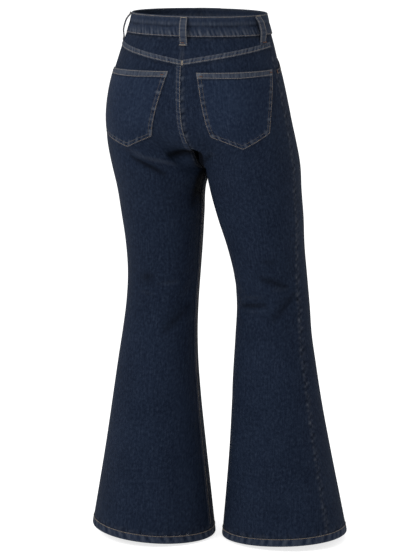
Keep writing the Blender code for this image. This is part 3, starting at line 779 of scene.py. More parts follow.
class Board:
    """A material's shader board."""

    def __init__(self, name):
        self.material = bpy.data.materials.new(name)
        self.material.use_nodes = True
        self.tree = self.material.node_tree
        self.shader = self.tree.nodes["Principled BSDF"]

    def put(self, target, value):
        """Link a socket, or set a plain value."""
        if isinstance(value, Socket):
            self.tree.links.new(value.output, target)
        else:
            target.default_value = value

    def node(self, kind, settings=None, values=None, give=0):
        """Any node: its settings come first, then the values or links of its sockets."""
        made = self.tree.nodes.new(kind)
        for name, setting in (settings or {}).items():
            if name == "stops":
                ramp = made.color_ramp.elements
                while len(ramp) < len(setting):
                    ramp.new(0.5)
                for stop, (place, colour) in zip(ramp, setting):
                    stop.position = place
                    stop.color = colour
            else:
                setattr(made, name, setting)
        for name, value in (values or {}).items():
            self.put(made.inputs[name], value)
        return Socket(self, made.outputs[give])

    def space(self):
        """A point's place in the object's own space."""
        return self.node("ShaderNodeTexCoord", give="Object")

    def axis(self, place, name):
        """One of the three values of a place."""
        return self.node("ShaderNodeSeparateXYZ", values={0: place}, give=name)

    def mark(self, name):
        """One of the marks that a sheet of cloth carries."""
        return self.node("ShaderNodeAttribute", {"attribute_name": name}, give="Fac")

    def noise(self, place, scale, detail=2.0, rough=0.5):
        """An even noise from 0 to 1."""
        return self.node("ShaderNodeTexNoise", {"noise_dimensions": "3D"},
                         {"Vector": place, "Scale": scale, "Detail": detail,
                          "Roughness": rough})

    def stretched_noise(self, place, scales, detail=2.0, rough=0.5):
        """Noise with a scale for each axis, which makes its pattern long and narrow."""
        scaled = self.node("ShaderNodeVectorMath", {"operation": "MULTIPLY"},
                           {0: place, 1: scales})
        return self.noise(scaled, 1.0, detail, rough)

    def bump(self, strength, height):
        """A surface direction that shows a height."""
        return self.node("ShaderNodeBump", values={"Strength": strength, "Distance": 1.0,
                                                   "Height": height})

    def blend(self, share, first, second):
        """A colour between two others."""
        return self.node("ShaderNodeMix", {"data_type": "RGBA"},
                         {0: share, 6: first, 7: second}, give=2)

    def limited(self, value, low, high):
        """A value stretched from low and high to 0 and 1, and kept between them."""
        return self.node("ShaderNodeMapRange", {"clamp": True},
                         {"Value": value, "From Min": low, "From Max": high})

    def finish(self, **values):
        """Set or link the shader's own sockets."""
        for name, value in values.items():
            self.put(self.shader.inputs[name.replace("_", " ")], value)
        return self.material


def rgba(colour):
    """A colour with full cover."""
    return (*colour, 1.0)


def toned(colour, factor):
    """A colour made darker or paler."""
    return tuple(min(1.0, part * factor) for part in colour)


def denim(name, main, deep, rubbed, rub=1.0):
    """Rinsed twill with uneven warp threads, mottled dye, paler rubbed edges, painted highlights
    on fold ridges and painted shade in creases, pucker troughs and under edges.
    """
    board = Board(name)
    flat = board.node("ShaderNodeUVMap", {"uv_map": "cloth"})
    solid = board.space()
    across, down = board.axis(flat, "X"), board.axis(flat, "Y")
    wear, near, shade = (board.mark(label) for label in MARKS)

    twill = (across + down * TWILL_SLOPE).wave(bpy.context.scene.jeans_cloth.twill_pitch)
    weft = down.wave(WEFT_PITCH)
    threads = board.stretched_noise(flat, WARP_FINE, 2.0, 0.6)
    slubs = board.stretched_noise(flat, YARN_FINE, 2.0, 0.55)
    mottle = board.stretched_noise(flat, MOTTLE_FINE, 3.0, 0.65)
    clouds = board.noise(solid, 16.0, 3.0, 0.55)
    pucker = board.noise(solid, 105.0, 1.0, 0.4)

    tone = board.limited(threads * 0.15 + slubs * 0.20 + mottle * 0.50 + clouds * 0.15,
                         0.41, 0.61)
    base = board.blend(tone, rgba(deep), rgba(main))
    # Painted shade: the shade mark darkens the colour to a near black indigo
    base = board.blend(shade, base, rgba(toned(deep, 0.22)))
    flecks = board.limited(threads * 0.3 + slubs * 0.3 + mottle * 0.4, 0.52, 0.74) * (0.14 * rub)
    # The first mark also holds the painted highlights on fold ridges, shown by this paler colour
    rubs_and_highlights = board.limited(wear * (0.40 + slubs * 0.65 + threads * 0.35), 0.05, 1.25) * rub
    swell = near * board.limited(pucker, 0.50, 0.72) * (0.16 * rub)
    # Where painted shade lies, the paler rubbed colour is held back
    paler = board.limited((flecks + rubs_and_highlights + swell) * (1.0 - shade), 0.0, 1.0)
    height = (twill * 0.00010 + weft * 0.00003 + threads * 0.00016 + slubs * 0.00014
              + near * pucker * 0.0016)
    return board.finish(Base_Color=board.blend(paler, base, rgba(rubbed)),
                        Roughness=0.80 + twill * 0.10, Normal=board.bump(0.85, height),
                        Specular_IOR_Level=0.05)


def thread_look(name, colour):
    """Twisted thread: fine slanted plies and a little fading along its length."""
    board = Board(name)
    solid = board.space()
    plies = board.stretched_noise(solid, (2600.0, 2600.0, 1700.0), 1.0)
    fade = board.noise(solid, 60.0, 2.0)
    tone = board.limited(plies * 0.5 + fade * 0.5, 0.32, 0.68)
    shades = board.blend(tone, rgba(toned(colour, 0.55)), rgba(toned(colour, 1.35)))
    return board.finish(Base_Color=shades, Roughness=0.55 + fade * 0.2,
                        Normal=board.bump(0.5, plies * 0.0001), Specular_IOR_Level=0.3)


def metal_look(name, colour, rough):
    """Aged cast metal, paler and darker in uneven clouds and fine specks."""
    board = Board(name)
    solid = board.space()
    clouds = board.noise(solid, 420.0, 3.0, 0.6)
    specks = board.noise(solid, 1800.0, 2.0, 0.6)
    tone = board.limited(clouds * 0.7 + specks * 0.3, 0.36, 0.62)
    return board.finish(Base_Color=board.blend(tone, rgba(toned(colour, 0.34)), rgba(colour)),
                        Metallic=1.0, Roughness=rough + (1.0 - tone) * 0.22,
                        Normal=board.bump(0.4, specks * 0.00008))


def tape_look(name, colour):
    """Woven zip tape with a fine rib along its length."""
    board = Board(name)
    solid = board.space()
    ribs = board.axis(solid, "X").wave(0.0009)
    picks = board.axis(solid, "Z").wave(0.0006)
    weave = ribs * 0.6 + picks * 0.4
    return board.finish(Base_Color=board.blend(weave, rgba(colour), rgba(toned(colour, 1.9))),
                        Roughness=0.75 + weave * 0.1, Normal=board.bump(0.7, weave * 0.0001),
                        Specular_IOR_Level=0.2)


def look(name):
    """A finish of the jeans, made once."""
    made = bpy.data.materials.get(name)
    if made:
        return made
    cloth, trim = bpy.context.scene.jeans_cloth, bpy.context.scene.jeans_trim
    reverse, thread = cloth.reverse_colour, trim.thread_colour
    make, *values = {
        "rinsed denim": (denim, cloth.indigo, cloth.deep_indigo, cloth.rubbed_indigo),
        "folded denim": (denim, toned(cloth.indigo, 1.25), toned(cloth.deep_indigo, 1.4),
                         cloth.rubbed_indigo, 1.2),
        "denim reverse": (denim, reverse, toned(reverse, 0.55), toned(reverse, 1.8)),
        "grey tan thread": (thread_look, thread),
        # The next two are the grey tan thread darkened as painted shade: rows sunk under an
        # edge, and rows in the deep crease under the seat
        "sunk thread": (thread_look, toned(thread, 0.35)),
        "thread lost in the crease": (thread_look, toned(thread, 0.04)),
        "warm tan thread": (thread_look, trim.hem_thread_colour),
        "brown tack thread": (thread_look, trim.tack_colour),
        "aged copper": (metal_look, trim.metal_colour, 0.30),
        "zip brass": (metal_look, ZIP_BRASS, 0.28),
        "zip tape": (tape_look, ZIP_TAPE),
    }[name]
    return make(name, *values)


def stamp(bm, shape, axes, place):
    """Add a copy of a small shape to a bmesh, on three axes of its own at a place."""
    whole = Matrix.Translation(place) @ Matrix(axes).transposed().to_4x4()
    shape.transform(whole)
    bm.from_mesh(shape)
    shape.transform(whole.inverted())


def stitch_shape():
    """One stitch: a short thread that rises in its middle and dips into the cloth."""
    bm = bmesh.new()
    bmesh.ops.create_cone(bm, cap_ends=True, segments=6, radius1=1.0, radius2=1.0, depth=1.0)
    for place in (-0.32, 0.0, 0.32):
        bmesh.ops.bisect_plane(bm, geom=list(bm.verts) + list(bm.edges) + list(bm.faces),
                               plane_co=(0.0, 0.0, place), plane_no=(0.0, 0.0, 1.0))
    for vertex in bm.verts:
        end = (2.0 * vertex.co.z) ** 2
        vertex.co.x *= 1.0 - 0.45 * end
        vertex.co.y = vertex.co.y * (0.8 - 0.45 * end) + 0.55 - 1.0 * end
    mesh = mesh_of(bm, "stitch")
    mesh.shade_smooth()
    return mesh


def sew(name, rows, look_name):
    """Stitches along rows. A row holds its points, outward directions, pitch and width."""
    shape = stitch_shape()
    bm = bmesh.new()
    for points, normals, pitch, wide in rows:
        run = lengths(points[None], 1)[0]
        count = max(1, int(round(run[-1] / pitch)))
        step = run[-1] / count

        def read(values, place):
            """A value of the row, at a number of steps along it."""
            return Vector([np.interp(place * step, run, values[:, axis]) for axis in range(3)])

        for number in range(count):
            start, end = (read(points, number + part) for part in STITCH_ENDS)
            line = end - start
            side = read(normals, number + 0.5).cross(line).normalized()
            up = line.cross(side).normalized()
            stamp(bm, shape, (side * wide / 2, up * wide / 2, line), (start + end) / 2)
    mesh = mesh_of(bm, name)
    bpy.data.meshes.remove(shape)
    mesh.materials.append(look(look_name))
    wear_it(show(name, mesh))


def row_of(half, turn, drop, out, wide=None):
    """A row of stitches along places of the form."""
    return as_row(*lay(half, turn, drop, out), wide)


def as_row(points, normals, wide=None):
    """A row of stitches along points, with the usual pitch and thread."""
    trim = bpy.context.scene.jeans_trim
    return points, normals, trim.stitch_pitch, wide or trim.thread_wide


def tack(half, turn, drop, out, wide, tall):
    """A bar tack: short stitches laid close together, as rows of one stitch each."""
    count = max(3, int(round(wide / TACK_PITCH)))
    aside = np.linspace(-wide / 2, wide / 2, count)[:, None] / metres_round(half, turn, drop)
    ends = np.array([[-tall / 2, tall / 2]])
    points, normals = lay(half, turn + aside, drop + ends, out)
    thread = bpy.context.scene.jeans_trim.thread_wide * 1.05
    return [(pair, up, tall, thread) for pair, up in zip(points, normals)]


def panel_grid(half, is_back):
    """Places of a leg panel's points."""
    cell = bpy.context.scene.jeans_cloth.cell
    rows = int(round((HEMS[half][0] - YOKE_SIDE_DROP) / cell))
    if is_back:
        columns = shares(int(round(BACK_ROUND / cell)) + 1)
    else:
        wide = SCOOP_WIDE / side_reach(half)
        curve = wide * np.sin(np.linspace(0.0, math.pi / 2, 30))
        rest = np.linspace(wide, 1.0, int(round(FRONT_ROUND / cell)) + 1)[1:]
        columns = np.concatenate([curve, rest])
    columns = columns[None, :]

    def turn_at(drop):
        """How far round the columns lie, between the panel's two long seams."""
        gap = SEAM_GAP / 2 / metres_round(half, 0.25, drop)
        side, seam = side_seam(half, drop), inseam(half, drop)
        if is_back:
            first, last = seam + gap, side - gap
        else:
            first, last = side + gap, 1.0 + seam - gap
        return first + (last - first) * columns

    if is_back:
        top = np.full(columns.shape, YOKE_SIDE_DROP)
        for _ in range(4):
            top = yoke_line(half, turn_at(top)) + SEAM_GAP / 2
    else:
        part = unit(columns / wide)
        top = BAND_HEIGHT + SEAM_GAP / 2 + SCOOP_DEEP * np.sqrt(1.0 - part * part)
    foot = np.full(columns.shape, HEMS[half][0] - HEM_HEIGHT)
    for _ in range(3):
        foot = hem_line(half, turn_at(foot)) - HEM_HEIGHT - SEAM_GAP
    drop = top + (foot - top) * shares(rows + 1)[:, None]
    return turn_at(drop), drop


def side_reach(half):
    """Length of the front waist edge, from the side seam to the front seam."""
    turn = np.linspace(side_seam(half, BAND_HEIGHT), 1.0, 41)
    points = smooth_form(half, turn, BAND_HEIGHT)
    return np.linalg.norm(np.diff(points, axis=0), axis=1).sum()


def make_leg_panel(half, is_back):
    """Lay one leg panel, with puckers and rubbed spots along its sewn edges."""
    cloth = bpy.context.scene.jeans_cloth
    turn, drop = panel_grid(half, is_back)
    across, down = measured(half, turn, drop)
    from_top, from_foot = down, down[-1:] - down
    seed = 1.7 * half + (0.0 if is_back else 3.1)
    out = np.zeros(turn.shape)
    near = np.zeros(turn.shape)
    # Painted shade in the creases and in the hollow between the thighs
    shade = crease_shade(half, turn, drop)
    # Painted highlight: paler lines along the fold ridges, where light catches them
    wear = fold_depth(half, turn, drop, PAINTED_RIDGE_HIGHLIGHTS)
    for distance, run, deep, number in (
            (across, down, 0.7, 0.0), (across[:, -1:] - across, down, 0.8, 1.0),
            (from_foot, across, 0.2, 2.0)):
        beside = close_to(distance, 0.008)
        wave = wobble(run + distance * 0.3, seed + number, stretch=1.7)
        out += cloth.pucker * deep * beside * wave
        out -= 0.0004 * close_to(distance, 0.0022)
        rubbed = close_to(distance - 0.003, 0.004) * unit(wave + 0.10)
        wear += 0.08 * beside + 0.75 * deep * rubbed
        # Painted shade: the troughs of the puckers beside each seam are darkened
        shade += 0.80 * beside * unit(-wave - 0.05)
        near += beside
    near += close_to(from_top, 0.009)
    if is_back:
        # Painted shadow: a dark line just under the yoke's felled seam
        shade += 0.65 * close_to(from_top - 0.0066, 0.0020)
    name = ("back_" if is_back else "front_") + SIDE_NAME[half]
    piece("denim_" + name, lay(half, turn, drop, out), cloth.cloth, "hung", LINED,
          ["denim_waistband"], name, wear=wear, near=near, shade=shade)


class JEANS_OT_stage(bpy.types.Operator):
    """Make the camera, the pale floor and the soft studio light."""

    bl_idname = "jeans.stage"
    bl_label = "Stage"

    def execute(self, context):
        stage = context.scene.jeans_stage
        turn, rise = math.radians(VIEW_TURN), math.radians(VIEW_RISE)
        toward = Vector((math.sin(turn) * math.cos(rise), -math.cos(turn) * math.cos(rise),
                         math.sin(rise)))
        lens = bpy.data.cameras.new("camera")
        lens.lens = VIEW_LENS
        lens.sensor_width = 36.0
        lens.shift_x = VIEW_SHIFT
        lens.clip_end = 200.0
        camera = show("camera", lens)
        aim = Vector(VIEW_AIM)
        camera.location = aim + toward * VIEW_AWAY
        camera.rotation_euler = (-toward).to_track_quat("-Z", "Y").to_euler()
        context.scene.camera = camera

        bm = bmesh.new()
        bmesh.ops.create_grid(bm, x_segments=8, y_segments=8, size=stage.floor_size / 2)
        bmesh.ops.translate(bm, verts=bm.verts, vec=(0.0, 0.0, -stage.floor_drop))
        floor = show("floor", mesh_of(bm, "floor"))
        floor.data.materials.append(Board("pale floor").finish(
            Base_Color=FLOOR_COLOUR, Roughness=0.9, Specular_IOR_Level=0.1,
            Emission_Color=WHITE, Emission_Strength=stage.floor_glow))

        world = bpy.data.worlds.new("sky")
        context.scene.world = world
        world.use_nodes = True
        sky = world.node_tree.nodes["Background"]
        sky.inputs["Color"].default_value = WHITE
        sky.inputs["Strength"].default_value = stage.sky
        context.scene.view_settings.view_transform = "Standard"

        left = Vector((-math.cos(turn), -math.sin(turn), 0.0))
        ahead = Vector((math.sin(turn), -math.cos(turn), 0.0))
        for name, power, size, place in (
                ("main light", stage.key, 1.8, left * 2.3 + ahead * 1.6 + Vector((0, 0, 1.3))),
                ("fill light", stage.fill, 2.6, ahead * 1.2 + Vector((0, 0, 2.6)))):
            lamp = bpy.data.lights.new(name, "AREA")
            lamp.shape = "DISK"
            lamp.size = size
            lamp.energy = power
            light = show(name, lamp)
            light.location = place
            light.rotation_euler = (aim - place).to_track_quat("-Z", "Y").to_euler()
        return {"FINISHED"}


class JEANS_OT_leg_panels(bpy.types.Operator):
    """Lay the two back and two front leg panels on the form."""

    bl_idname = "jeans.leg_panels"
    bl_label = "Leg panels"

    def execute(self, context):
        for half in (LEFT, RIGHT):
            make_leg_panel(half, is_back=True)
            make_leg_panel(half, is_back=False)
        return {"FINISHED"}


class JEANS_OT_yokes(bpy.types.Operator):
    """Lay the two back yokes between the waistband and the slanted seam."""

    bl_idname = "jeans.yokes"
    bl_label = "Yokes"

    def execute(self, context):
        cloth = context.scene.jeans_cloth
        for half in (LEFT, RIGHT):
            name = "yoke_" + SIDE_NAME[half]
            edge = side_seam(half, YOKE_SIDE_DROP) - 0.0003
            turn = np.linspace(0.0004, 1.0, 76)[None, :] * edge
            low = yoke_line(half, turn) - SEAM_GAP / 2
            high = BAND_HEIGHT + SEAM_GAP / 2
            drop = high + (low - high) * shares(18)[:, None]
            across, down = measured(half, turn, drop)
            beside = close_to(across, 0.006)
            top = close_to(down, 0.006)
            wave = wobble(across, 0.6 * half, 1.4)
            out = cloth.pucker * 0.6 * top * wave - 0.0005 * close_to(across, 0.002)
            # Painted shadow: a dark line along the yoke's top, just under the waistband's edge
            piece("denim_" + name, lay(half, turn, drop, out), cloth.cloth, "hung", LINED,
                  ["denim_waistband"], name, wear=0.10 * top + 0.16 * beside,
                  near=top + beside, shade=0.70 * close_to(down, 0.0028))
        return {"FINISHED"}


def lay_fell(name, half, turn, drop, grain_down, seed, rubbed=0.38):
    """A felled seam: a narrow folded strip that lies over the join of two panels."""
    pucker = bpy.context.scene.jeans_cloth.pucker
    across, down = measured(half, turn, drop)
    if grain_down:
        run, part = down, across / across[:, -1:]
    else:
        run, part = across, down / down[-1:]
    off_middle = np.abs(2.0 * part - 1.0)
    rise = 1.0 - off_middle ** 4
    wave = wobble(run + (part - 0.5) * 0.003, seed)
    out = 0.00062 + 0.00034 * rise + pucker * 0.75 * rise * wave
    edge = close_to(1.0 - off_middle, 0.20)
    wear = rubbed * (1.0 + 0.8 * edge) + 0.42 * np.clip(wave, -0.9, 1.0)
    wear *= 1.0 - 0.55 * ease((drop - CROTCH_DROP) / 0.1)
    # Painted shade where the strip runs through the creases
    piece(name, lay(half, turn, drop, out), STRIP_CLOTH, "stretched", wear=wear, near=0.5,
          shade=crease_shade(half, turn, drop))


def lay_allowance(name, half, turn, drop):
    """The edges of a plain seam, pressed open inside the cloth, as one narrow strip."""
    behind_facing = 1.0 - ease((drop - SIDE_FACING_DROP) / 0.012)
    depth = bpy.context.scene.jeans_cloth.cloth + INNER_GAP + 0.0018 * behind_facing
    piece(name, lay(half, turn, drop, -depth), STRIP_CLOTH, "stretched", REVERSE, near=0.3)


def fell_places(half, drop, from_seam):
    """How far round a row lies at some length from the inseam or seat seam."""
    seam = inseam(half, drop)
    return seam + from_seam / metres_round(half, np.maximum(seam, 0.004), drop)


class JEANS_OT_felled_seams(bpy.types.Operator):
    """Lay the felled seams, and the inner edges of the seams at the sides and the waist."""

    bl_idname = "jeans.felled_seams"
    bl_label = "Felled seams"

    def execute(self, context):
        wide = context.scene.jeans_cloth.fell_wide
        across = np.linspace(-0.5, 0.5, 8)
        past_join = (across[None, :] + FELL_MIDDLE) * wide
        for half in (LEFT, RIGHT):
            side = SIDE_NAME[half]
            edge = side_seam(half, YOKE_SIDE_DROP) - 0.0006
            turn = np.linspace(0.0006, 1.0, 145)[None, :] * edge
            drop = yoke_line(half, turn) + across[:, None] * wide
            lay_fell("fell_yoke_" + side, half, turn, drop, False, 0.9 * half)
            start = YOKE_BACK_DROP + wide * 0.56 if half == LEFT else CROTCH_DROP + 0.004
            stop = HEMS[half][0] - HEM_HEIGHT + 0.003
            drop = np.linspace(start, stop, int((stop - start) / 0.0021))[:, None]
            turn = fell_places(half, drop, past_join)
            lay_fell("fell_inseam_" + side, half, turn, drop, True, 0.4 * half, rubbed=0.12)
        drop = np.linspace(FLY_DROP + 0.002, CROTCH_DROP - 0.006, 60)[:, None]
        turn = 1.0 - past_join / metres_round(LEFT, 0.99, drop)
        lay_fell("fell_front", LEFT, turn, drop, True, 0.2)
        for half in (LEFT, RIGHT):
            side = SIDE_NAME[half]
            stop = HEMS[half][0] - HEM_HEIGHT - 0.001
            drop = np.linspace(BAND_HEIGHT - 0.004, stop, 300)[:, None]
            seam = side_seam(half, drop)
            turn = seam + across[None, :] * SIDE_EDGES_WIDE / metres_round(half, seam, drop)
            lay_allowance("seam_side_" + side, half, turn, drop)
            turn = np.linspace(0.004, 0.900, 150)[None, :]
            drop = BAND_HEIGHT + across[:, None] * WAIST_EDGES_WIDE
            lay_allowance("seam_waist_" + side, half, turn, drop)
        return {"FINISHED"}


def band_half(angle):
    """The half and the turn of places round the waist, where the angle is 0 at the back."""
    turn = np.abs(angle) / math.pi
    half = np.where(np.asarray(angle) >= 0, LEFT, RIGHT) * np.where(turn > 1.0, -1, 1)
    return half, np.where(turn > 1.0, 2.0 - turn, turn)


def band_lift(angle):
    """How far the lapped end stands off the layer under it."""
    left = along(HIPS, "left", 0.0)
    past_front = (angle - math.pi) * left
    return (BAND_CLOTH + SEAM_GAP) * ease((past_front + LAP_UNDER + LAP_EASE) / LAP_EASE)


def lay_band(angles, drops, out):
    """Points round the waistband: rows are drops and columns are angles."""
    angles, drops = np.asarray(angles), np.asarray(drops)
    points = np.empty((len(drops), len(angles), 3))
    normals = np.empty_like(points)
    halves, turns = band_half(angles)
    out = out + BAND_PROUD + band_lift(angles)[None, :]
    for half in (LEFT, RIGHT):
        here = halves == half
        points[:, here], normals[:, here] = lay(half, turns[None, here], drops[:, None],
                                                out[:, here])
    return points, normals


def band_ends():
    """The angles of the waistband's two ends, past the front on either side."""
    width = along(HIPS, "left", 0.0)
    return -(math.pi + LAP_UNDER / width), math.pi + LAP_OVER / width


class JEANS_OT_waistband(bpy.types.Operator):
    """Lay the waistband, a folded strip lapped at the centre front."""

    bl_idname = "jeans.waistband"
    bl_label = "Waistband"

    def execute(self, context):
        cloth = context.scene.jeans_cloth
        start, end = band_ends()
        angles = np.linspace(start, end, 430)
        drops = np.linspace(0.0, BAND_HEIGHT - SEAM_GAP / 2, 24)
        run = (angles - start)[None, :] * along(HIPS, "left", 0.0)
        level = drops[:, None]
        wave = wobble(run + level * 0.35, 0.8, 1.1)
        slow = wobble(run, 2.0, 6.0)
        crease = close_to(level - BAND_CREASE_DROP - 0.0012 * slow, 0.0024)
        low = close_to(BAND_HEIGHT - 0.005 - level, 0.009)
        high = close_to(level, 0.004)
        out = (-0.0009 * unit(1.0 - level / 0.0016) ** 2
               - 0.0006 * crease * (0.75 + 0.35 * slow)
               + cloth.pucker * (0.7 * low + 0.4 * high) * wave)
        # The paler band above the crease is a painted highlight; the rest of the wear is rubbing
        # at the top edge and on the puckers
        ridge = close_to(level - BAND_RIDGE_DROP, 0.004)
        wear = (0.34 * high + 0.46 * low * np.clip(0.35 + wave, 0.0, 1.2) + 0.10
                + ridge * unit(0.20 + 0.16 * wobble(run, 1.1)))
        # Painted shade in the middle crease and in the troughs of the puckers
        shade = 0.55 * crease * unit(0.8 + 0.5 * slow) + 0.40 * low * unit(-wave - 0.1)
        piece("denim_waistband", lay_band(angles, drops, out), BAND_CLOTH - 0.0004,
              "stretched", node="waistband", wear=wear, near=low + 0.5 * high, shade=shade)
        return {"FINISHED"}


def keep_straight(half, turn, drop):
    """The turn that keeps a place as far sideways as it is on the plain hips."""
    seam, edge = along(HIPS, "seam", drop), along(HIPS, SIDE_NAME[half], drop)
    wanted = seam + (edge - seam) * np.sin(math.pi * turn) + half * SEAM_GAP / 2
    step = 0.001
    for _ in range(5):
        here = smooth_form(half, turn, drop)[..., 0]
        ahead = smooth_form(half, turn + step, drop)[..., 0]
        turn = turn + (wanted - here) * step / (ahead - here)
    return turn


def pocket_place(half, across, down):
    """The turn and drop of a place on a back pocket, from its shares across and down."""
    corner = {key: np.array(value) for key, value in POCKETS[half].items()}
    low_run = corner["low_outer"] - corner["low_inner"]
    point_at = (corner["point"] - corner["low_inner"])[0] / low_run[0]
    top = corner["top_inner"] + (corner["top_outer"] - corner["top_inner"]) * across[..., None]
    low = np.stack([np.interp(across, (0.0, point_at, 1.0), [
        corner[key][axis] for key in ("low_inner", "point", "low_outer")])
        for axis in (0, 1)], axis=-1)
    place = top + (low - top) * down[..., None]
    return keep_straight(half, place[..., 0], place[..., 1]), place[..., 1]


def pocket_grid(half):
    """Places of a back pocket's points."""
    down, across = (shares(count) for count in POCKET_GRID)
    return pocket_place(half, across[None, :], down[:, None])


class JEANS_OT_back_pockets(bpy.types.Operator):
    """Lay the two five sided patch pockets on the back panels."""

    bl_idname = "jeans.back_pockets"
    bl_label = "Back pockets"

    def execute(self, context):
        cloth = context.scene.jeans_cloth
        bulge = np.sin(math.pi * shares(POCKET_GRID[1]))
        for half in (LEFT, RIGHT):
            turn, drop = pocket_grid(half)
            wide, tall = measured(half, turn, drop)
            edges = (wide, wide[:, -1:] - wide, (tall[-1:] - tall) * 0.90)
            near_side = np.minimum(edges[0], edges[1])
            near_edge = np.minimum(near_side, edges[2])
            seed = 1.3 * half
            in_hem = ease((POCKET_HEM + 0.0010 - tall) / 0.0012)
            margin = ease((POCKET_MARGIN + 0.0008 - near_edge) / 0.0014)
            out = (POCKET_OUT - 0.00045 * close_to(near_edge, 0.0012)
                   + 0.0007 * close_to(tall, 0.010) * bulge
                   + 0.0003 * np.maximum(in_hem, margin * 0.8))
            wear = np.zeros(turn.shape)
            shade = np.zeros(turn.shape)
            for distance, run, number in zip(edges, (tall, tall, wide), (0.0, 1.9, 3.3)):
                band = close_to(distance - 0.0060, 0.0060)
                wave = wobble(run + distance * 0.2, seed + number, 1.5)
                out += cloth.pucker * 0.95 * band * wave
                wear += band * unit(0.08 + 0.62 * wave) + 0.30 * close_to(distance, 0.0012)
                # Painted shade in the troughs of the puckers
                shade += 0.45 * band * unit(-wave)
            wave = wobble(wide, seed + 5.0, 0.8)
            out += cloth.pucker * 0.35 * in_hem * wave
            ends = close_to(near_side, 0.009)
            wear += in_hem * unit(0.42 + 0.26 * wave + 0.22 * ends)
            shade *= 1.0 - in_hem
            # Painted shadow: a dark line just under the pocket's top hem
            shade += 0.45 * close_to(tall - POCKET_HEM - 0.0022, 0.0012)
            side = SIDE_NAME[half]
            piece("denim_pocket_" + side, lay(half, turn, drop, out), TRIM_CLOTH, "laid",
                  rests_on=["denim_back_" + side], node="pocket_" + side, wear=wear,
                  near=unit(margin + in_hem) * 0.8, shade=shade)
        return {"FINISHED"}


class JEANS_OT_front_pockets(bpy.types.Operator):
    """Lay the facings that show in the scoops of the two front pockets."""

    bl_idname = "jeans.front_pockets"
    bl_label = "Front pockets"

    def execute(self, context):
        cloth = context.scene.jeans_cloth
        for half in (LEFT, RIGHT):
            top = BAND_HEIGHT + SEAM_GAP * 1.5
            deep = SCOOP_DEEP + FACING_MARGIN
            drop = top + deep * shares(24)[:, None]
            share = (SCOOP_WIDE + FACING_MARGIN) / side_reach(half)
            side = side_seam(half, drop) + 0.0006
            turn = side + (1.0 - side) * share * shares(32)[None, :]
            name = "facing_" + SIDE_NAME[half]
            piece("denim_" + name, lay(half, turn, drop, -(cloth.cloth + INNER_GAP)),
                  TRIM_CLOTH, "hung", LINED, ["denim_waistband"], name, near=0.15)
        return {"FINISHED"}


def fly_reach():
    """Share of the turn that one metre takes across the fly."""
    return (1.0 - side_seam(LEFT, BAND_HEIGHT)) / side_reach(LEFT)


class JEANS_OT_fly(bpy.types.Operator):
    """Lay the fly flap, and set the teeth on the closed zip behind it."""

    bl_idname = "jeans.fly"
    bl_label = "Fly"

    def execute(self, context):
        from_edge = np.concatenate([np.sin(np.linspace(0.0, math.pi / 2, 22)[::-1]),
                                    np.linspace(-0.01, -FLY_LAP / FLY_WIDE, 4)])
        turn = 1.0 - from_edge * FLY_WIDE * fly_reach()
        curve = np.sqrt(1.0 - unit(from_edge) ** 2)
        foot = FLY_STRAIGHT_DROP + (FLY_DROP - FLY_STRAIGHT_DROP) * curve
        top = BAND_HEIGHT + SEAM_GAP * 1.5
        drop = top + (foot[None, :] - top) * shares(64)[:, None]
        turn = turn[None, :]
        across, down = measured(LEFT, turn, drop)
        free = close_to(across[:, -1:] - across, 0.003)
        out = FLY_OUT + 0.0003 * free + 0.00018 * wobble(down, 0.4, 2.0) * free
        piece("denim_fly_flap", lay(LEFT, turn, drop, out), TRIM_CLOTH, "hung",
              rests_on=["denim_waistband"], node="fly_flap", wear=0.10 + 0.40 * free, near=0.4)

        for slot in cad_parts["fly_zip"].material_slots:
            slot.link = "OBJECT"
            slot.material = look("zip tape")

        bm = bmesh.new()
        bmesh.ops.create_cube(bm, size=1.0)
        bmesh.ops.bevel(bm, geom=list(bm.edges), offset=0.12, offset_type="OFFSET",
                        affect="EDGES", segments=1, profile=0.5, material=-1)
        tooth = mesh_of(bm, "tooth")
        wide, tall, thick = TOOTH
        bm = bmesh.new()
        levels = np.arange(ZIP_TOP + 0.014, ZIP_DROP, TOOTH_PITCH)
        sides = np.where(np.arange(len(levels)) % 2, TOOTH_ASIDE, -TOOTH_ASIDE)
        for place, normal in zip(*lay(LEFT, 1.0 + sides * fly_reach(), levels, -ZIP_DEPTH)):
            up = Vector(normal)
            down = Vector((0.0, 0.0, -1.0))
            down = (down - up * down.dot(up)).normalized()
            stamp(bm, tooth, (up.cross(down) * wide, down * tall, up * thick), Vector(place))
        bmesh.ops.recalc_face_normals(bm, faces=bm.faces)
        teeth = show("zip_teeth", mesh_of(bm, "zip_teeth"))
        bpy.data.meshes.remove(tooth)
        teeth.data.materials.append(look("zip brass"))
        wear_it(teeth)
        return {"FINISHED"}


def loop_grid(half, place):
    """Places of a belt loop's points and how far each row stands off."""
    rows, columns = LOOP_GRID
    level = np.linspace(LOOP_PATH["drop"][0], LOOP_PATH["drop"][-1], rows)
    gap = along(LOOP_PATH, "gap", level) + np.where(level < BAND_HEIGHT, BAND_PROUD, 0.0)
    aside = LOOP_WIDE * np.linspace(-0.5, 0.5, columns)
    turn = place + aside / metres_round(half, place, BAND_HEIGHT)
    return *np.broadcast_arrays(turn[None, :], level[:, None]), gap


class JEANS_OT_belt_loops(bpy.types.Operator):
    """Bend the five belt loops over the waistband."""

    bl_idname = "jeans.belt_loops"
    bl_label = "Belt loops"

    def execute(self, context):
        pucker = context.scene.jeans_cloth.pucker
        part = np.linspace(-1.0, 1.0, LOOP_GRID[1])[None, :]
        for number, (name, (half, place)) in enumerate(LOOPS.items()):
            turn, drop, gap = loop_grid(half, place)
            wave = wobble(drop, 1.1 * number)
            out = (gap[:, None] + LOOP_THICK - 0.00035 * part ** 4
                   + pucker * 0.35 * wave * (1.0 - part ** 2))
            piece("denim_" + name, lay(half, turn, drop, out), LOOP_THICK - 0.0002,
                  "stretched", node=name, wear=0.38 + 0.40 * part ** 4 + 0.22 * wave,
                  near=0.4)
        return {"FINISHED"}


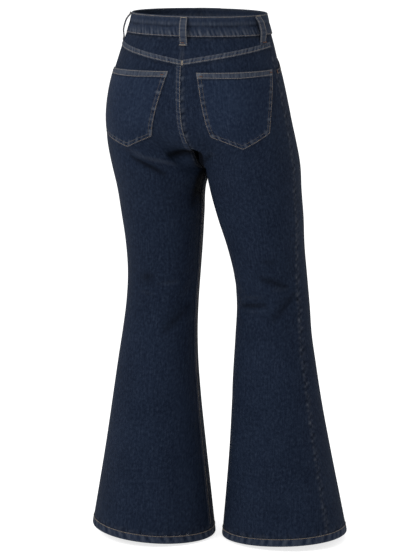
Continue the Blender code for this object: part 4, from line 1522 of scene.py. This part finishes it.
class JEANS_OT_hems(bpy.types.Operator):
    """Lay the turned up hem round each leg, roped by its stitching."""

    bl_idname = "jeans.hems"
    bl_label = "Hems"

    def execute(self, context):
        turn = shares(421)[None, :]
        level = shares(12)[:, None]
        for half in (LEFT, RIGHT):
            drop = hem_line(half, turn) - HEM_HEIGHT * (1.0 - level)
            run, _ = measured(half, turn, drop)
            around = run / run[:, -1:] + level * 0.006 / HEM_ROUND
            first, second = (np.sin(2 * math.pi * around * count + shift)
                             for count, shift in zip(HEM_ROPES, (half, 0.0)))
            wave = 0.55 * first + 0.45 * second
            middle = np.sin(math.pi * unit(level * 0.9 + 0.1))
            out = (0.0003 + 0.00038 * wave * middle
                   - 0.0010 * unit((level - 0.86) / 0.14) ** 2)
            out[:, -1] = out[:, 0]
            edge = unit((level - 0.80) / 0.20)
            wear = 0.20 + 0.22 * edge + 0.26 * np.clip(wave, -0.5, 1.0) * middle
            for seam in (0.0, 0.5, 1.0):
                wear += 0.30 * close_to(turn - seam, 0.008)
            side = SIDE_NAME[half]
            # Painted shade in the troughs of the rope; the paler rope tops are rubbed wear
            piece("denim_hem_" + side, lay(half, turn, drop, out), HEM_CLOTH, "hung",
                  rests_on=["denim_back_" + side, "denim_front_" + side],
                  node="hem_" + side, close=True, wear=wear, near=0.5,
                  shade=0.40 * unit(-wave - 0.1) * middle)
        return {"FINISHED"}


class JEANS_OT_waist_button(bpy.types.Operator):
    """Turn the metal button, with a rolled rim and a low crown."""

    bl_idname = "jeans.waist_button"
    bl_label = "Waist button"

    def execute(self, context):
        angle = math.pi - BUTTON_PLACE / along(HIPS, "left", 0.0)
        half, turn = band_half(angle)
        out = BAND_PROUD + BAND_CLOTH + SEAM_GAP * 2
        foot, facing = lay(int(half), np.array([turn]), np.array([BAND_HEIGHT / 2]), out)
        axis = Vector(facing[0]).normalized()
        bm = bmesh.new()
        profile = [bm.verts.new((share * BUTTON_RADIUS, 0.0, height))
                   for share, height in BUTTON_PROFILE]
        edges = [bm.edges.new(pair) for pair in zip(profile, profile[1:])]
        bmesh.ops.spin(bm, geom=profile + edges, cent=(0, 0, 0), axis=(0, 0, 1), dvec=(0, 0, 0),
                       angle=2 * math.pi, steps=48, use_merge=True)
        bmesh.ops.remove_doubles(bm, verts=bm.verts, dist=0.000001)
        rim = [edge for edge in bm.edges if edge.is_boundary]
        bmesh.ops.contextual_create(bm, geom=rim)
        bmesh.ops.recalc_face_normals(bm, faces=bm.faces)
        turned = axis.to_track_quat("Z", "Y").to_matrix().to_4x4()
        bmesh.ops.transform(bm, verts=bm.verts,
                            matrix=Matrix.Translation(Vector(foot[0])) @ turned)
        button = show("copper_button", mesh_of(bm, "copper_button"))
        button.data.materials.append(look("aged copper"))
        button.data.shade_smooth()
        button.data.set_sharp_from_angle(angle=SHARP)
        wear_it(button, "waist_button")
        return {"FINISHED"}


def pocket_line(half, inset, rows):
    """The stitched outline of a back pocket, down one side, round the point and up."""
    wide, tall = measured(half, *pocket_grid(half))
    down_grid, across_grid = (shares(count) for count in POCKET_GRID)
    start = shares(rows)
    side = inset / np.interp(start, down_grid, wide[:, -1])
    low = 1.0 - inset * 1.10 / tall[-1]
    foot_across = np.linspace(side[-1], 1.0 - side[-1], rows)
    foot_down = np.interp(foot_across, across_grid, low)
    across = np.concatenate([side, foot_across, 1.0 - side[::-1]])
    down = np.concatenate([start * foot_down[0], foot_down, start[::-1] * foot_down[-1]])
    return pocket_place(half, across, down)


class JEANS_OT_stitching(bpy.types.Operator):
    """Sew the rows of topstitching and the bar tacks."""

    bl_idname = "jeans.stitching"
    bl_label = "Stitching"

    def execute(self, context):
        wide = context.scene.jeans_cloth.fell_wide
        yokes, inseams, pockets, edges, sunk, painted_crease_shade_rows, tacks, pale_tacks = ([] for _ in range(8))
        for half in (LEFT, RIGHT):
            turn = np.linspace(0.003, side_seam(half, YOKE_SIDE_DROP) - 0.002, 120)
            # The sunk rows are laid a little lower and drawn in thread darkened as painted shade
            for part, rows, low in ((-YOKE_ROW, sunk, 0.00025), (YOKE_ROW, yokes, 0.0)):
                drop = yoke_line(half, turn) + part * wide
                rows.append(row_of(half, turn, drop, ON_FELL - low))
            end = HEMS[half][0] - HEM_HEIGHT
            if half == LEFT:
                # On the left, the rows through the deep crease use thread darkened as painted
                # shade
                parts = ((YOKE_BACK_DROP + wide * 0.6, DARK_FROM, inseams, sunk),
                         (DARK_FROM, DARK_TO, painted_crease_shade_rows, painted_crease_shade_rows), (DARK_TO, end, inseams, sunk))
            else:
                parts = ((CROTCH_DROP + 0.006, end, inseams, sunk),)
            for first, last, *both in parts:
                drop = np.linspace(first, last, max(8, int((last - first) / 0.0025)))
                for rows, share, low in zip(both, FELL_ROWS, (0.0, 0.0002)):
                    turn = fell_places(half, drop, share * wide)
                    rows.append(row_of(half, turn, drop, ON_FELL - low))
            for inset, rows in zip(POCKET_ROWS, (edges, sunk)):
                turn, drop = pocket_line(half, inset, 90)
                rows.append(row_of(half, turn, drop, POCKET_OUT + 0.00015))
            across = np.linspace(0.012, 0.988, 90)
            for down in POCKET_HEM_ROWS:
                turn, drop = pocket_place(half, across, np.full(90, down / POCKET_LONG))
                lift = 0.0007 * close_to(down, 0.010) * np.sin(math.pi * across)
                pockets.append(row_of(half, turn, drop, POCKET_OUT + 0.00030 + lift))
            for place in TACKED_CORNERS:
                tacks += tack(half, *pocket_place(half, *np.array(place)), *CORNER_TACK)
        for rows, places in ((tacks, BROWN_TACKS), (pale_tacks, PALE_TACKS)):
            for place in places:
                rows += tack(*place)
        sew("thread_yokes", yokes, "grey tan thread")
        sew("thread_inseams", inseams, "grey tan thread")
        sew("thread_back_pockets", pockets, "grey tan thread")
        sew("thread_pocket_edges", edges, "warm tan thread")
        sew("thread_sunk", sunk, "sunk thread")
        sew("thread_in_crease", painted_crease_shade_rows, "thread lost in the crease")

        start, end = band_ends()
        angles = np.linspace(start + 0.012, end - 0.012, 420)
        band = []
        for level, lift in zip(BAND_ROWS, (0.0, 0.0001)):
            here, facing = lay_band(angles, [level], np.full((1, 420), lift))
            band.append(as_row(here[0], facing[0]))
        here, facing = lay_band([end - 0.018], np.linspace(*BAND_ROWS, 20),
                                np.zeros((20, 1)))
        band.append(as_row(here[:, 0], facing[:, 0]))
        sew("thread_waistband", band, "grey tan thread")

        front = []
        for half in (LEFT, RIGHT):
            round_it = np.linspace(0.03, math.pi / 2 - 0.03, 60)
            for inset in SCOOP_ROWS:
                share = (SCOOP_WIDE + inset) * np.sin(round_it) / side_reach(half)
                drop = BAND_HEIGHT + (SCOOP_DEEP + inset) * np.cos(round_it)
                side = side_seam(half, drop)
                front.append(row_of(half, side + (1.0 - side) * share, drop, 0.0001))
            low = BAND_HEIGHT + SCOOP_DEEP
            tacks += tack(half, side_seam(half, low) + 0.010, low + 0.005, 0.0005, 0.0022,
                          0.0075)
        round_it = np.linspace(0.0, math.pi / 2, 40)
        for inset in FLY_ROWS:
            turn = 1.0 - (FLY_WIDE - inset) * np.cos(round_it) * fly_reach()
            drop = FLY_STRAIGHT_DROP + (FLY_DROP - FLY_STRAIGHT_DROP - inset) * np.sin(round_it)
            turn = np.concatenate([np.full(40, turn[0]), turn[1:]])
            drop = np.concatenate([np.linspace(BAND_HEIGHT + 0.002, FLY_STRAIGHT_DROP, 40),
                                   drop[1:]])
            front.append(row_of(LEFT, turn, drop, FLY_OUT))
        drop = np.linspace(FLY_DROP + 0.004, CROTCH_DROP - 0.008, 60)
        for part in FRONT_ROWS:
            turn = 1.0 - part * wide / metres_round(LEFT, 0.99, drop)
            front.append(row_of(LEFT, turn, drop, ON_FELL))
        sew("thread_front", front, "grey tan thread")
        tacks += tack(LEFT, 0.990, FLY_DROP - 0.004, 0.0022, 0.0022, 0.0090)

        turn = shares(421)
        hems = [row_of(half, turn, hem_line(half, turn) - HEM_HEIGHT + HEM_ROW, 0.0007,
                       HEM_THREAD_WIDE) for half in (LEFT, RIGHT)]
        sew("thread_hems", hems, "warm tan thread")

        loops = []
        for name, (half, place) in LOOPS.items():
            turn, drop, gap = (values[2:-3] for values in loop_grid(half, place))
            for column in (1, LOOP_GRID[1] - 2):
                loops.append(row_of(half, turn[:, column], drop[:, column],
                                    gap + LOOP_THICK - 0.00010))
            if name not in ("loop_back", "loop_side_right"):
                tacks += tack(half, place, 0.0530, *LOOP_FOOT_TACK)
            pale_tacks += tack(half, place, 0.0030, *LOOP_TOP_TACK)
        sew("thread_belt_loops", loops, "grey tan thread")
        sew("tacks_brown", tacks, "brown tack thread")
        sew("tacks_pale", pale_tacks, "grey tan thread")
        return {"FINISHED"}


OPERATORS = (
    JEANS_OT_stage, JEANS_OT_waistband, JEANS_OT_yokes, JEANS_OT_leg_panels,
    JEANS_OT_felled_seams, JEANS_OT_back_pockets, JEANS_OT_front_pockets, JEANS_OT_fly,
    JEANS_OT_belt_loops, JEANS_OT_hems, JEANS_OT_waist_button, JEANS_OT_stitching,
)


class JEANS_PT_pieces(bpy.types.Panel):
    """The jeans' pieces, and the sizes and colours that a user may change."""

    bl_idname = "JEANS_PT_pieces"
    bl_label = "Flared Jeans"
    bl_space_type = "VIEW_3D"
    bl_region_type = "UI"
    bl_category = "Jeans"

    def draw(self, context):
        for operator in OPERATORS:
            self.layout.operator(operator.bl_idname)
        for group in (context.scene.jeans_cloth, context.scene.jeans_trim,
                      context.scene.jeans_stage):
            box = self.layout.box()
            for name in group.__annotations__:
                box.prop(group, name)


GROUPS = {"jeans_cloth": JeansCloth, "jeans_trim": JeansTrim, "jeans_stage": JeansStage}


def register():
    """Add the options, the operators and the panel."""
    for group in GROUPS.values():
        bpy.utils.register_class(group)
    for name, group in GROUPS.items():
        setattr(bpy.types.Scene, name, PointerProperty(type=group))
    for operator in OPERATORS:
        bpy.utils.register_class(operator)
    bpy.utils.register_class(JEANS_PT_pieces)


def unregister():
    """Take them out again."""
    bpy.utils.unregister_class(JEANS_PT_pieces)
    for operator in reversed(OPERATORS):
        bpy.utils.unregister_class(operator)
    for name in GROUPS:
        delattr(bpy.types.Scene, name)
    for group in reversed(GROUPS.values()):
        bpy.utils.unregister_class(group)


def main():
    """Make every piece and the stage."""
    register()
    for operator in OPERATORS:
        group, name = operator.bl_idname.split(".")
        getattr(getattr(bpy.ops, group), name)()
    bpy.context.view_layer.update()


if __name__ == "__main__":
    main()
